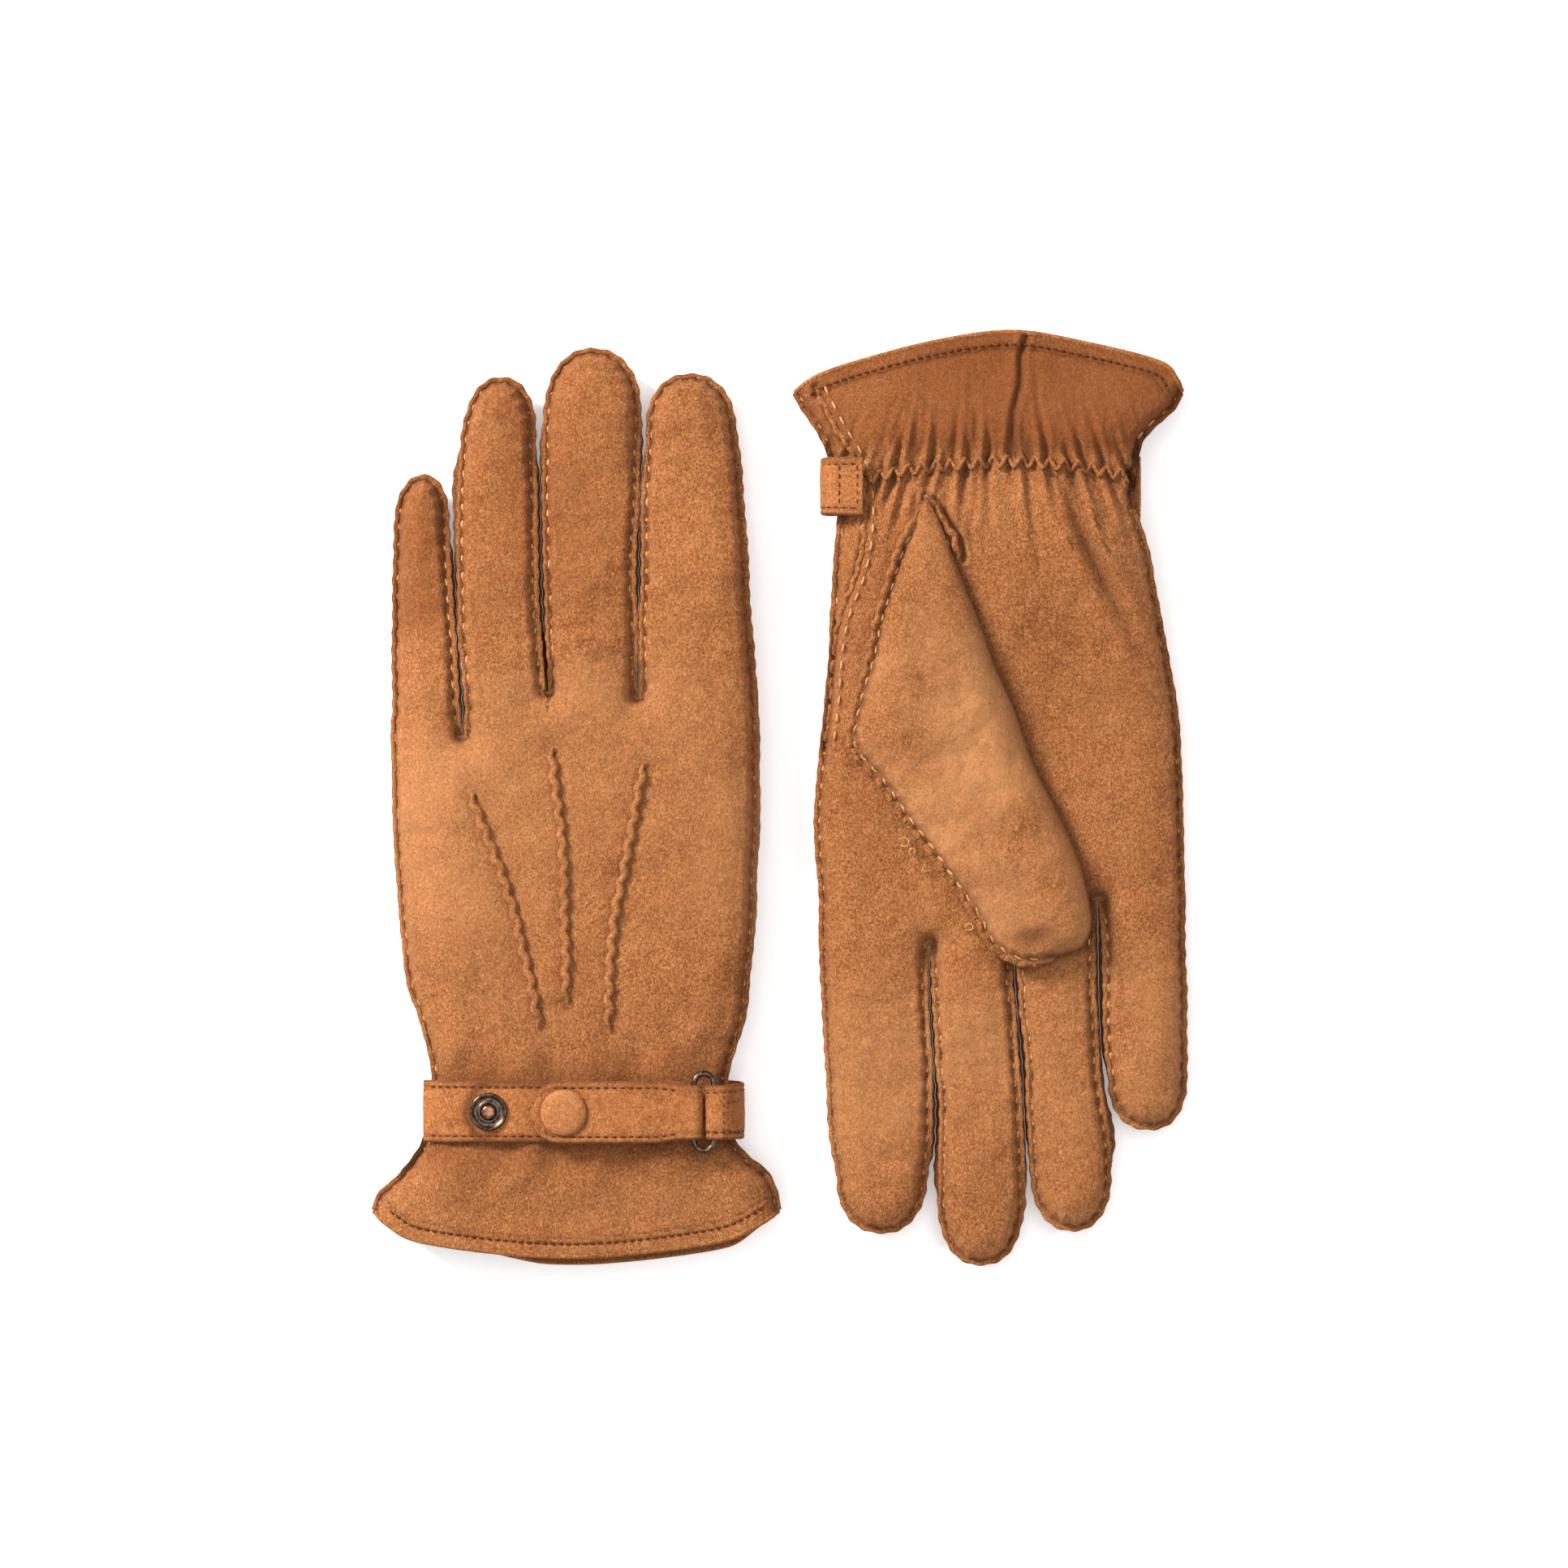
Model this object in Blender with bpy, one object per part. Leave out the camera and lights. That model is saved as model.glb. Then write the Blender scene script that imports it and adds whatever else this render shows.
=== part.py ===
"""A pair of suede gloves lying side by side, left glove back up and right glove palm up.

Each glove is laid out once in its own flat frame, in millimetres: x across the hand towards the index
finger, y from the wrist strap towards the fingertips, z up from the palm to the back of the hand.
The left glove stands in that frame; the right glove is its mirror image, turned over and turned round.
"""

import math

import bpy
from mathutils import Vector
from mathutils.geometry import delaunay_2d_cdt

# ---- driving dimensions, in millimetres ----
MM = 0.001
LEATHER = 1.2  # thickness of the suede
HALF_CAVITY = 6.0  # half the free height inside a hand or finger
GAP = 0.3  # clearance between neighbouring pieces
SEAM_GAP = 0.15  # half of the gap where two layers meet
GLOVE_THICKNESS = 2 * (HALF_CAVITY + LEATHER)
WRIST_X, WRIST_Y = 58.8, 90.3  # where each wrist centre lies from the middle of the pair

PINKY_HINGE_Y = 124.0
HINGE_Y = 141.0  # the root crease of the index, middle and ring fingers
HINGE_GAP = 0.2
CREASE_LIFT = 0.05  # how far each finger's crease line lies above the upper face
THUMB_LEFT, THUMB_RIGHT = 4.6, 11.0  # height of the squashed left thumb and of the plump right one

STRAP_HALF = 8.8  # half the strap's width
WRAP_HALF = 7.9  # half its width where it passes through the ring
STRAP = 1.0  # strap thickness
STRAP_LIFT = 0.6  # strap's height above the back
STRAP_END_X = 28.2
RING_BAR_LEFT, RING_BAR_RIGHT = 33.4, 39.0
RING_HALF_LENGTH = 11.1  # to the wire's centre
WIRE = 0.9  # wire radius of the ring
STUD_OUTER_X, STUD_INNER_X = -26.0, -4.2
STUD_BASE_RADIUS, STUD_WAIST_RADIUS, STUD_HEAD_RADIUS = 5.2, 1.7, 1.9
SOCKET_HOLE_RADIUS, SOCKET_RADIUS = 2.4, 5.0
CAP_RADIUS, CAP_RIM, CAP_FLAT_RADIUS = 6.7, 0.5, 1.6

BACK_TOP = GLOVE_THICKNESS
STRAP_TOP = BACK_TOP + STRAP_LIFT + STRAP
BAR_Z = STRAP_TOP + GAP + WIRE
WRAP_IN = WIRE + GAP
WRAP_OUT = WRAP_IN + STRAP
TAB_Z = STRAP_TOP + 2.8  # underside of the tab at the snap
CAP_TOP = STRAP_TOP + 6.3

# Each finger: root centre x, tip centre x, tip y, root width, tip width, hinge y, slit sides.
FINGERS = {
    "pinky": (-45.4, -46.0, 185.5, 20.6, 19.0, PINKY_HINGE_Y, ("index_side",)),
    "ring": (-21.6, -23.4, 214.0, 23.4, 22.6, HINGE_Y, ("index_side", "pinky_side")),
    "middle": (4.0, 3.2, 223.0, 25.0, 26.0, HINGE_Y, ("index_side", "pinky_side")),
    "index": (33.4, 31.0, 215.0, 31.6, 27.4, HINGE_Y, ("pinky_side",)),
}
FOURCHETTE_HALF = 3.6  # half the side wall's height at the finger root

# Half of the hand outline on each side, from the cuff to the finger roots.
PINKY_EDGE = [
    (-60.0, -29.0), (-53.5, -19.0), (-46.5, -9.0), (-44.2, 0.0), (-44.4, 13.0), (-49.0, 30.0),
    (-52.4, 45.0), (-54.6, 70.0), (-55.8, 98.0), (-55.7, PINKY_HINGE_Y),
]
INDEX_EDGE = [
    (59.0, -29.0), (54.0, -18.0), (46.5, -9.0), (44.2, 0.0), (43.6, 13.0), (47.8, 27.0),
    (50.2, 42.0), (51.2, 70.0), (51.4, 100.0), (49.2, HINGE_Y),
]
CUFF_EDGE = [(59.0, -29.0), (38.0, -37.5), (8.0, -42.5), (-22.0, -41.0), (-45.0, -36.5), (-60.0, -29.0)]
CROTCHES = {"pinky": 110.0, "ring": 121.0, "middle": 121.0}  # y where each slit ends

THUMB = [
    (17.0, 12.0), (24.5, 32.0), (32.0, 55.0), (38.6, 77.0), (30.5, 93.0), (17.0, 113.0), (3.5, 131.0),
    (-9.0, 138.0), (-21.0, 139.0), (-28.0, 131.0), (-28.6, 116.0), (-19.0, 88.0), (-8.0, 58.0),
    (4.0, 28.0), (11.0, 13.0),
]
THUMB_HOLE = [(19.0, 28.0), (25.0, 45.0), (32.5, 70.0), (26.0, 74.0), (14.0, 58.0), (10.5, 38.0)]
THUMB_REAR = [
    (9.0, 24.0), (7.5, 40.0), (12.0, 62.0), (24.0, 78.0), (29.5, 91.0), (17.0, 111.0), (3.5, 129.5),
    (-9.0, 136.5), (-20.5, 137.5), (-26.5, 130.0), (-27.2, 116.0), (-18.0, 89.0), (-7.0, 59.0),
    (3.0, 32.0),
]
THUMB_PIVOT_LEFT = (18.0, 20.0)  # the squashed left thumb swings sideways about an upright line here
THUMB_PIVOT_RIGHT = (21.5, 18.0)  # the wrist end of the seam about which the right thumb opens

# Colour, roughness and metallic value of each kind of material.
FINISHES = {
    "suede": ((0.51, 0.20, 0.065), 0.95, 0.0),
    "elastic": ((0.55, 0.40, 0.26), 0.9, 0.0),
    "metal": ((0.11, 0.085, 0.065), 0.4, 1.0),
}


# ---- small helpers ----
def new_material(name, colour, roughness, metallic):
    material = bpy.data.materials.new(name)
    material.use_nodes = True
    shader = material.node_tree.nodes["Principled BSDF"]
    shader.inputs["Base Color"].default_value = (*colour, 1)
    shader.inputs["Roughness"].default_value = roughness
    shader.inputs["Metallic"].default_value = metallic
    return material


def smooth(t):
    t = min(1.0, max(0.0, t))
    return t * t * (3 - 2 * t)


def catmull(points, step, closed=False):
    """Points about `step` apart on a smooth curve through the given points."""
    count = len(points)
    result = []
    for i in range(count if closed else count - 1):
        if closed:
            a, b, c, d = (Vector(points[(i + k - 1) % count]) for k in range(4))
        else:
            a, b = Vector(points[max(i - 1, 0)]), Vector(points[i])
            c, d = Vector(points[i + 1]), Vector(points[min(i + 2, count - 1)])
        pieces = max(1, round((c - b).length / step))
        for k in range(pieces):
            t = k / pieces
            result.append(
                0.5 * (2 * b + (c - a) * t + (2 * a - 5 * b + 4 * c - d) * t * t
                       + (3 * b - a - 3 * c + d) * t ** 3)
            )
    if not closed:
        result.append(Vector(points[-1]))
    return result


def distance(p, path, closed=False):
    """Distance from p to a polyline."""
    best = math.inf
    ends = path[1:] + path[:1] if closed else path[1:]
    for a, b in zip(path, ends):
        ab = b - a
        t = max(0.0, min(1.0, (p - a).dot(ab) / max(ab.length_squared, 1e-9)))
        best = min(best, (a + ab * t - p).length)
    return best


def inside(p, loop):
    found = False
    for a, b in zip(loop, loop[1:] + loop[:1]):
        if (a.y > p.y) != (b.y > p.y) and p.x < a.x + (p.y - a.y) / (b.y - a.y) * (b.x - a.x):
            found = not found
    return found


def tile(loop, grid, inset, holes=()):
    """Triangles over the inside of a loop: its own points, a row just inside it and an even grid."""
    loops = [loop, *holes]
    points, edges = [], []
    for ring in loops:
        first = len(points)
        points += ring
        edges += [(first + i, first + (i + 1) % len(ring)) for i in range(len(ring))]

    def clear(p, room):
        return (inside(p, loop) and not any(inside(p, h) for h in holes)
                and min(distance(p, r, True) for r in loops) > room)

    row = []
    for ring in loops:
        for a, b, c in zip(ring, ring[1:] + ring[:1], ring[2:] + ring[:2]):
            along = (c - a).normalized()
            for side in (1, -1):
                p = b + Vector((-along.y, along.x)) * inset * side
                if clear(p, inset * 0.8) and all((p - q).length > inset * 0.7 for q in row):
                    row.append(p)
    low = Vector((min(p.x for p in loop), min(p.y for p in loop)))
    high = Vector((max(p.x for p in loop), max(p.y for p in loop)))
    centre_x = (low.x + high.x) / 2
    rows, columns = int((high.y - low.y) / grid) + 1, int((high.x - low.x) / grid / 2) + 1
    for j in range(rows):
        for i in range(-columns, columns + 1):
            p = Vector((centre_x + (i + 0.5 * (j % 2)) * grid, low.y + (j + 0.5) * grid))
            if clear(p, inset * 1.6) and all((p - q).length > grid * 0.45 for q in row):
                points.append(p)
    points += row
    coords, _, faces, *_ = delaunay_2d_cdt(points, edges, [], 1, 1e-5)
    kept = []
    for face in faces:
        centre = sum((coords[i] for i in face), Vector((0, 0))) / len(face)
        if inside(centre, loop) and not any(inside(centre, h) for h in holes):
            kept.append(face if turns_left([coords[i] for i in face]) else face[::-1])
    return [Vector(c) for c in coords], kept


def turns_left(corners):
    a, b, c = corners[:3]
    return (b - a).cross(c - a) > 0


class Glove:
    """Where one glove's flat frame lies in the world."""

    def __init__(self, name, mirrored):
        self.name = name
        self.mirrored = mirrored

    def rise(self, x, y):
        """How far the glove lies above the surface: over the thumb on the left, over the strap on the right."""
        if self.mirrored:
            span = 28.0 if y < 0 else 65.0
            return (CAP_TOP - BACK_TOP) * (1 - smooth((abs(y) - 12.0) / span))
        cuff = 0.35 + 0.65 * smooth((y + 33.0) / 22.0)
        palm = (THUMB_LEFT + GAP) * smooth((x + 56.0) / 24.0)
        return palm * cuff * (1 - smooth((y - 152.0) / 36.0))

    def place(self, x, y, z, rigid=False):
        lift = self.rise(0, 0) if rigid else self.rise(x, y)
        if self.mirrored:
            return ((WRIST_X - x) * MM, (WRIST_Y - y) * MM, (lift + GLOVE_THICKNESS - z) * MM)
        return ((x - WRIST_X) * MM, (y - WRIST_Y) * MM, (lift + z) * MM)

    def origin(self, part):
        """A point on the line about which the part turns; the wrist's centre if it stays with the hand."""
        finger_name = part.split("_")[0]
        if finger_name in FINGERS:
            root_x, hinge_y = FINGERS[finger_name][0], FINGERS[finger_name][5]
            x, y, _ = self.place(root_x, hinge_y, 0)
            rise = max(self.rise(root_x + across, hinge_y) for across in (-6.0, 0.0, 6.0))
            return x, y, (rise + GLOVE_THICKNESS + CREASE_LIFT) * MM
        if finger_name == "thumb":
            return self.place(*(THUMB_PIVOT_RIGHT if self.mirrored else THUMB_PIVOT_LEFT), 0)
        if part == "strap_ring":
            return self.place(RING_BAR_RIGHT, 0, BAR_Z, rigid=True)
        if part in ("strap_tab", "tab_wrap", "snap_cap", "snap_socket"):
            return self.place(RING_BAR_LEFT, 0, BAR_Z, rigid=True)
        return self.place(0, 0, 0)

    def add(self, part, points, faces, material, rigid=False):
        mesh = bpy.data.meshes.new(f"{self.name}_{part}")
        origin = Vector(self.origin(part))
        placed = [Vector(self.place(*p, rigid=rigid)) - origin for p in points]
        mesh.from_pydata(placed, [], [f[::-1] if self.mirrored else f for f in faces])
        mesh.materials.append(new_material(f"{self.name}_{part}", *FINISHES[material]))
        obj = bpy.data.objects.new(f"{self.name}_{part}", mesh)
        obj.location = origin
        bpy.context.scene.collection.objects.link(obj)
        return obj


def between(glove, part, tiles, low, high, material="suede"):
    """A solid over the tiles, from height low(p) to height high(p)."""
    flat, faces = tiles
    count = len(flat)
    points = [(p.x, p.y, low(p)) for p in flat] + [(p.x, p.y, high(p)) for p in flat]
    solid = [tuple(f[::-1]) for f in faces] + [tuple(i + count for i in f) for f in faces]
    edges = {(f[k], f[(k + 1) % len(f)]) for f in faces for k in range(len(f))}
    solid += [(a, b, b + count, a + count) for a, b in edges if (b, a) not in edges]
    return glove.add(part, points, solid, material)


def extruded(glove, part, profile, y0, y1, material="suede"):
    """A closed x-z profile drawn out along y."""
    count = len(profile)
    points = [(x, y0, z) for x, z in profile] + [(x, y1, z) for x, z in profile]
    faces = [(i, (i + 1) % count, (i + 1) % count + count, i + count) for i in range(count)]
    faces += [tuple(range(count))[::-1], tuple(range(count, 2 * count))]
    area = sum(profile[i][0] * profile[(i + 1) % count][1] - profile[(i + 1) % count][0] * profile[i][1]
               for i in range(count))
    if area > 0:
        faces = [f[::-1] for f in faces]
    return glove.add(part, points, faces, material, rigid=True)


def turned(glove, part, profile, centre_x, material, segments=20):
    """A profile of (radius, z) turned about a vertical line; it starts and ends on that line or closes up."""
    points, faces, rings = [], [], []
    for radius, z in profile:
        if radius == 0:
            rings.append([len(points)])
            points.append((centre_x, 0, z))
            continue
        rings.append([len(points) + k for k in range(segments)])
        points += [(centre_x + radius * math.cos(2 * math.pi * k / segments),
                    radius * math.sin(2 * math.pi * k / segments), z) for k in range(segments)]
    following = rings[1:] if profile[0][0] == 0 else rings[1:] + rings[:1]
    for a, b in zip(rings, following):
        for k in range(segments):
            quad = (a[k % len(a)], a[(k + 1) % len(a)], b[(k + 1) % len(b)], b[k % len(b)])
            faces.append(tuple(dict.fromkeys(quad)))
    return shaded_round(glove.add(part, points, faces, material, rigid=True))


def shaded_round(obj):
    obj.data.shade_smooth()
    obj.data.set_sharp_from_angle(angle=math.radians(40))
    return obj


# ---- outlines ----
def finger_sides(name, start_y):
    """The finger's edge from its root on the pinky side, round the tip, to its root on the index side."""
    root_x, tip_x, tip_y, root_width, tip_width, hinge_y, _ = FINGERS[name]
    ball = tip_width * 0.56  # length of the rounded tip
    straight_end = tip_y - ball

    def centre(y):
        t = (y - hinge_y) / (tip_y - hinge_y)
        return root_x + (tip_x - root_x) * t

    def half(y):
        t = min(1.0, (y - hinge_y) / (straight_end - hinge_y))
        return (root_width + (tip_width - root_width) * t) / 2

    rows = [start_y + (straight_end - start_y) * k / 7 for k in range(7)]
    side = [(y, half(y)) for y in rows]
    side += [(straight_end + ball * math.sin(a), tip_width / 2 * math.cos(a))
             for a in (math.radians(d) for d in (0, 24, 46, 66, 82))]
    left = [Vector((centre(y) - w, y)) for y, w in side]
    right = [Vector((centre(y) + w, y)) for y, w in side]
    return left + right[::-1]


def hand_loops():
    """The hand's whole outline with its finger stubs, and the parts of it that are sewn edges."""
    pinky_edge, index_edge = catmull(PINKY_EDGE, 8), catmull(INDEX_EDGE, 8)
    names = list(FINGERS)
    stubs, slits = [], []
    for name, following in zip(names, names[1:]):
        hinge, next_hinge = FINGERS[name][5], FINGERS[following][5]
        x_here = FINGERS[name][0] + FINGERS[name][3] / 2
        x_next = FINGERS[following][0] - FINGERS[following][3] / 2
        crotch = CROTCHES[name]
        slit = [Vector((x_here, hinge - HINGE_GAP)), Vector((x_here, (hinge + crotch) / 2)),
                Vector((x_here * 0.6 + x_next * 0.4, crotch)), Vector((x_next, crotch + 2.0)),
                Vector((x_next, (next_hinge + crotch) / 2)), Vector((x_next, next_hinge - HINGE_GAP))]
        stubs += slit
        slits.append(slit)
    pinky_edge[-1].y -= HINGE_GAP
    index_edge[-1].y -= HINGE_GAP
    cuff = catmull(CUFF_EDGE, 8)
    loop = pinky_edge + stubs + index_edge[::-1] + cuff[1:-1]
    return loop, [pinky_edge, index_edge, *slits]


# ---- the shape of a sewn shell ----
def bulge(depth, reach):
    """0 at a sewn edge, 1 once `reach` inside it."""
    t = min(1.0, max(0.0, depth / reach))
    return math.sqrt(1 - (1 - t) ** 2)


def shell_heights(seam_distance, side_half, reach):
    """Outer and inner height above the middle plane of a layer."""
    rest = HALF_CAVITY - side_half
    outer = side_half + LEATHER + rest * bulge(seam_distance, reach)
    inner = side_half + rest * bulge(seam_distance - LEATHER, reach)
    return outer, inner


MIDDLE = HALF_CAVITY + LEATHER  # height of the middle plane


def sewn_pair(glove, back_name, palm_name, tiles, palm_tiles, depth, side_half, reach):
    """The back layer above the middle plane and the palm layer below it."""
    between(glove, back_name, tiles,
            lambda p: MIDDLE + shell_heights(depth(p), side_half(p), reach)[1],
            lambda p: MIDDLE + shell_heights(depth(p), side_half(p), reach)[0])
    between(glove, palm_name, palm_tiles,
            lambda p: MIDDLE - shell_heights(depth(p), side_half(p), reach)[0],
            lambda p: MIDDLE - shell_heights(depth(p), side_half(p), reach)[1])


HAND_REACH, FINGER_REACH = 11.0, 8.5


def hand(glove, loop, seams):
    tiles = tile(loop, 11.0, 3.0)
    palm_tiles = tile(loop, 11.0, 3.0, [catmull(THUMB_HOLE, 7, True)])

    def depth(p):
        return min(distance(p, s) for s in seams)

    sewn_pair(glove, "back_panel", "palm_panel", tiles, palm_tiles, depth, lambda p: SEAM_GAP, HAND_REACH)


def finger(glove, name):
    root_x, tip_x, tip_y, _, _, hinge_y, slits = FINGERS[name]
    seam = finger_sides(name, hinge_y + HINGE_GAP)
    tiles = tile(seam, 9.0, 3.0)

    def side_half(p):
        t = (p.y - hinge_y) / (tip_y - hinge_y)
        on_index_side = p.x > root_x + (tip_x - root_x) * t
        if ("index_side" if on_index_side else "pinky_side") not in slits:
            return SEAM_GAP
        return max(SEAM_GAP, FOURCHETTE_HALF * (1 - smooth((t - 0.5) / 0.42)))

    sewn_pair(glove, f"{name}_back", f"{name}_palm", tiles, tiles,
              lambda p: distance(p, seam), side_half, FINGER_REACH)
    for side in slits:
        fourchette(glove, name, side, seam, side_half)


def fourchette(glove, name, side, seam, side_half):
    """The side wall between the back and the palm of a finger, tapering to nothing near the tip."""
    sign = 1 if side == "index_side" else -1
    half_count = len(seam) // 2
    edge = seam[half_count:][::-1] if sign > 0 else seam[:half_count]
    edge = [p for p in edge if side_half(p + Vector((-sign * 0.5, 0))) > 0.9]
    points, faces = [], []
    for p in edge:
        height = side_half(p + Vector((-sign * 0.5, 0))) - GAP
        outer_x, inner_x = p.x - sign * GAP, p.x - sign * (GAP + LEATHER * 0.8)
        points += [(outer_x, p.y, MIDDLE - height), (outer_x, p.y, MIDDLE + height),
                   (inner_x, p.y, MIDDLE + height), (inner_x, p.y, MIDDLE - height)]
    for k in range(len(edge) - 1):
        for c in range(4):
            a, b = 4 * k + c, 4 * k + (c + 1) % 4
            faces.append((a, b, b + 4, a + 4))
    last = len(points) - 4
    faces += [(3, 2, 1, 0), (last, last + 1, last + 2, last + 3)]
    if sign > 0:
        faces = [f[::-1] for f in faces]
    glove.add(f"{name}_fourchette_{side}", points, faces, "suede")


def thumb(glove):
    """A front that arches over the folded thumb and a flat rear layer against the palm."""
    height = THUMB_RIGHT if glove.mirrored else THUMB_LEFT
    outline, rear = catmull(THUMB, 9, True), catmull(THUMB_REAR, 9, True)
    under = -GAP  # the palm layer's outer face is at zero
    front_in = under - LEATHER - GAP
    room = height - 2 * LEATHER - GAP

    def arch(p, skip):
        near_wrist = 0.3 + 0.7 * smooth((p.y - 12.0) / 45.0)
        return room * near_wrist * bulge(distance(p, outline, True) - skip, 9.0)

    between(glove, "thumb_front", tile(outline, 9.0, 3.0),
            lambda p: front_in - LEATHER - arch(p, 0.0), lambda p: front_in - arch(p, LEATHER))
    between(glove, "thumb_rear", tile(rear, 11.0, 3.0),
            lambda p: under - LEATHER, lambda p: under)


# ---- cuff ----
def cuff_hem(glove, seams):
    """The turned hem: a band that runs round the inside of the cuff opening."""
    depth_of_band, thickness, inset = 9.0, 0.9, 4.5
    count = 13
    section = [-1 + 2 * k / (count - 1) for k in range(count)]
    points, faces = [], []

    def station(u, back, row):
        """A point on the inside of the cuff; row 0 is nearest the opening."""
        mouth = 0.5 * (1 - u)
        edge = catmull(CUFF_EDGE, 8)
        along = mouth * (len(edge) - 1)
        i = min(int(along), len(edge) - 2)
        p = edge[i].lerp(edge[i + 1], along - i)
        p = Vector((p.x * (1 - inset / 58.0), p.y + 1.0))
        narrower = 0.0 if row == 0 else 5.0 * abs(u) ** 3
        y = p.y + (0.0 if row == 0 else depth_of_band)
        return Vector((p.x - math.copysign(narrower, p.x), y))

    for outer in (True, False):
        for row in (0, 1):
            for back in (1, -1):
                for u in section if back > 0 else section[::-1][1:-1]:
                    p = station(u, back, row)
                    d = min(distance(p, s) for s in seams)
                    inner = shell_heights(max(d, 0.0), SEAM_GAP, HAND_REACH)[1]
                    height = max(inner - 1.5 - (0.0 if outer else thickness), 1.2 if outer else 0.3)
                    x = p.x if outer else p.x * (1 - thickness / 58.0)
                    points.append((x, p.y, MIDDLE + back * height))
    ring = 2 * count - 2
    layers = [[n * ring + k for k in range(ring)] for n in range(4)]
    outer_mouth, outer_inside, inner_mouth, inner_inside = layers
    for a, b in ((outer_mouth, outer_inside), (inner_inside, inner_mouth),
                 (inner_mouth, outer_mouth), (outer_inside, inner_inside)):
        for k in range(ring):
            faces.append((a[k], a[(k + 1) % ring], b[(k + 1) % ring], b[k]))
    glove.add("cuff_hem", points, faces, "suede")


def wrist_elastic(glove):
    """The flat elastic sewn inside the palm at the wrist."""
    outline = [Vector(p) for p in ((-36, 2), (-12, 2), (12, 2), (32, 2), (32, 10), (12, 10), (-12, 10), (-36, 10))]
    bottom = MIDDLE - HALF_CAVITY + 1.6
    between(glove, "wrist_elastic", tile(outline, 30.0, 3.0), lambda p: bottom, lambda p: bottom + 0.8, "elastic")


# ---- strap, ring and snap ----
def strap(glove, seams):
    """The lower run, sewn in at the pinky edge and lying over the back."""
    xs = [-42.6, -40.8, -38.5, -36.0, -33.0, -20.0, 0.0, 15.0, STRAP_END_X]
    outline = [Vector((x, -STRAP_HALF)) for x in xs] + [Vector((x, STRAP_HALF)) for x in xs[::-1]]
    edge = seams[0]

    def top(p):
        nearest = min(distance(Vector((p.x, y)), edge) for y in (-9.0, -4.5, 0.0, 4.5, 9.0))
        farthest = max(distance(Vector((p.x, y)), edge) for y in (-9.0, -4.5, 0.0, 4.5, 9.0))
        depth = farthest if p.x > -43.0 else max(nearest, 0.8)
        return MIDDLE + shell_heights(depth + 0.6, SEAM_GAP, HAND_REACH)[0] + STRAP_LIFT

    columns = len(xs)
    faces = [(k, k + 1, 2 * columns - 2 - k, 2 * columns - 1 - k) for k in range(columns - 1)]
    between(glove, "strap", (outline, faces), top, lambda p: top(p) + STRAP)


def arc(centre, radius, start, end, steps):
    return [(centre[0] + radius * math.cos(math.radians(start + (end - start) * k / steps)),
             centre[1] + radius * math.sin(math.radians(start + (end - start) * k / steps)))
            for k in range(steps + 1)]


def strap_tab(glove):
    """The upper run: it wraps the ring's near bar and comes back to the snap with a round end."""
    bar = (RING_BAR_LEFT, BAR_Z)
    wrap = arc(bar, WRAP_OUT, -100, 90, 8) + arc(bar, WRAP_IN, 90, -100, 6)
    end_x, straight_x = -13.0, STUD_INNER_X
    outline = [Vector((RING_BAR_LEFT, -STRAP_HALF)), Vector((RING_BAR_LEFT, STRAP_HALF)),
               Vector((14.0, STRAP_HALF)), Vector((straight_x, STRAP_HALF))]
    outline += [Vector((straight_x + STRAP_HALF * math.cos(math.radians(a)),
                        STRAP_HALF * math.sin(math.radians(a)))) for a in range(112, 250, 22)]
    outline += [Vector((straight_x, -STRAP_HALF)), Vector((14.0, -STRAP_HALF))]
    low_at_bar = BAR_Z + WRAP_IN

    def low(p):
        t = (p.x - end_x) / (RING_BAR_LEFT - end_x)
        return TAB_Z + (low_at_bar - TAB_Z) * smooth((t - 0.35) / 0.65)

    body = between(glove, "strap_tab", tile(outline, 14.0, 5.0), low, lambda p: low(p) + STRAP)
    # The wrap overlaps the run a little so that the two join into one solid.
    loop = extruded(glove, "tab_wrap", [(x - (0.6 if z > BAR_Z + WRAP_IN - 0.1 else 0.0), z) for x, z in wrap],
                    -WRAP_HALF, WRAP_HALF)
    join(body, loop)


def join(body, other):
    """Makes body and another solid one with a Boolean union; the other stays as a hidden guide."""
    modifier = body.modifiers.new("join", "BOOLEAN")
    modifier.operation = "UNION"
    modifier.object = other
    other.hide_render = True
    other.display_type = "WIRE"


def keeper(glove):
    """The short loop that holds the ring's far bar and runs round the edge onto the palm side."""
    bar = (RING_BAR_RIGHT, BAR_Z)
    edge_x = 46.4
    inner = arc(bar, WRAP_IN, 270, 90, 8)
    outer = arc(bar, WRAP_OUT, 270, 90, 8)
    over = [(42.6, BAR_Z + WRAP_OUT - 0.6), (45.2, BACK_TOP - 0.6), (edge_x + 1.2, MIDDLE + 2.0),
            (edge_x + 1.2, MIDDLE - 2.5), (45.4, 1.4), (43.0, -1.4), (35.0, -1.4)]
    under = [(35.0, -0.4), (42.6, -0.4), (44.6, 2.0), (edge_x, MIDDLE - 2.2), (edge_x, MIDDLE + 1.8),
             (44.4, BACK_TOP - 1.2), (42.2, BAR_Z + WRAP_IN - 0.8)]
    lower_layer = [(42.0, BAR_Z - WRAP_IN - 0.1), (42.0, BAR_Z - WRAP_OUT + 0.1)]
    profile = outer + over + under + inner[::-1] + lower_layer
    extruded(glove, "keeper_loop", profile, -WRAP_HALF, WRAP_HALF)


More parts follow.
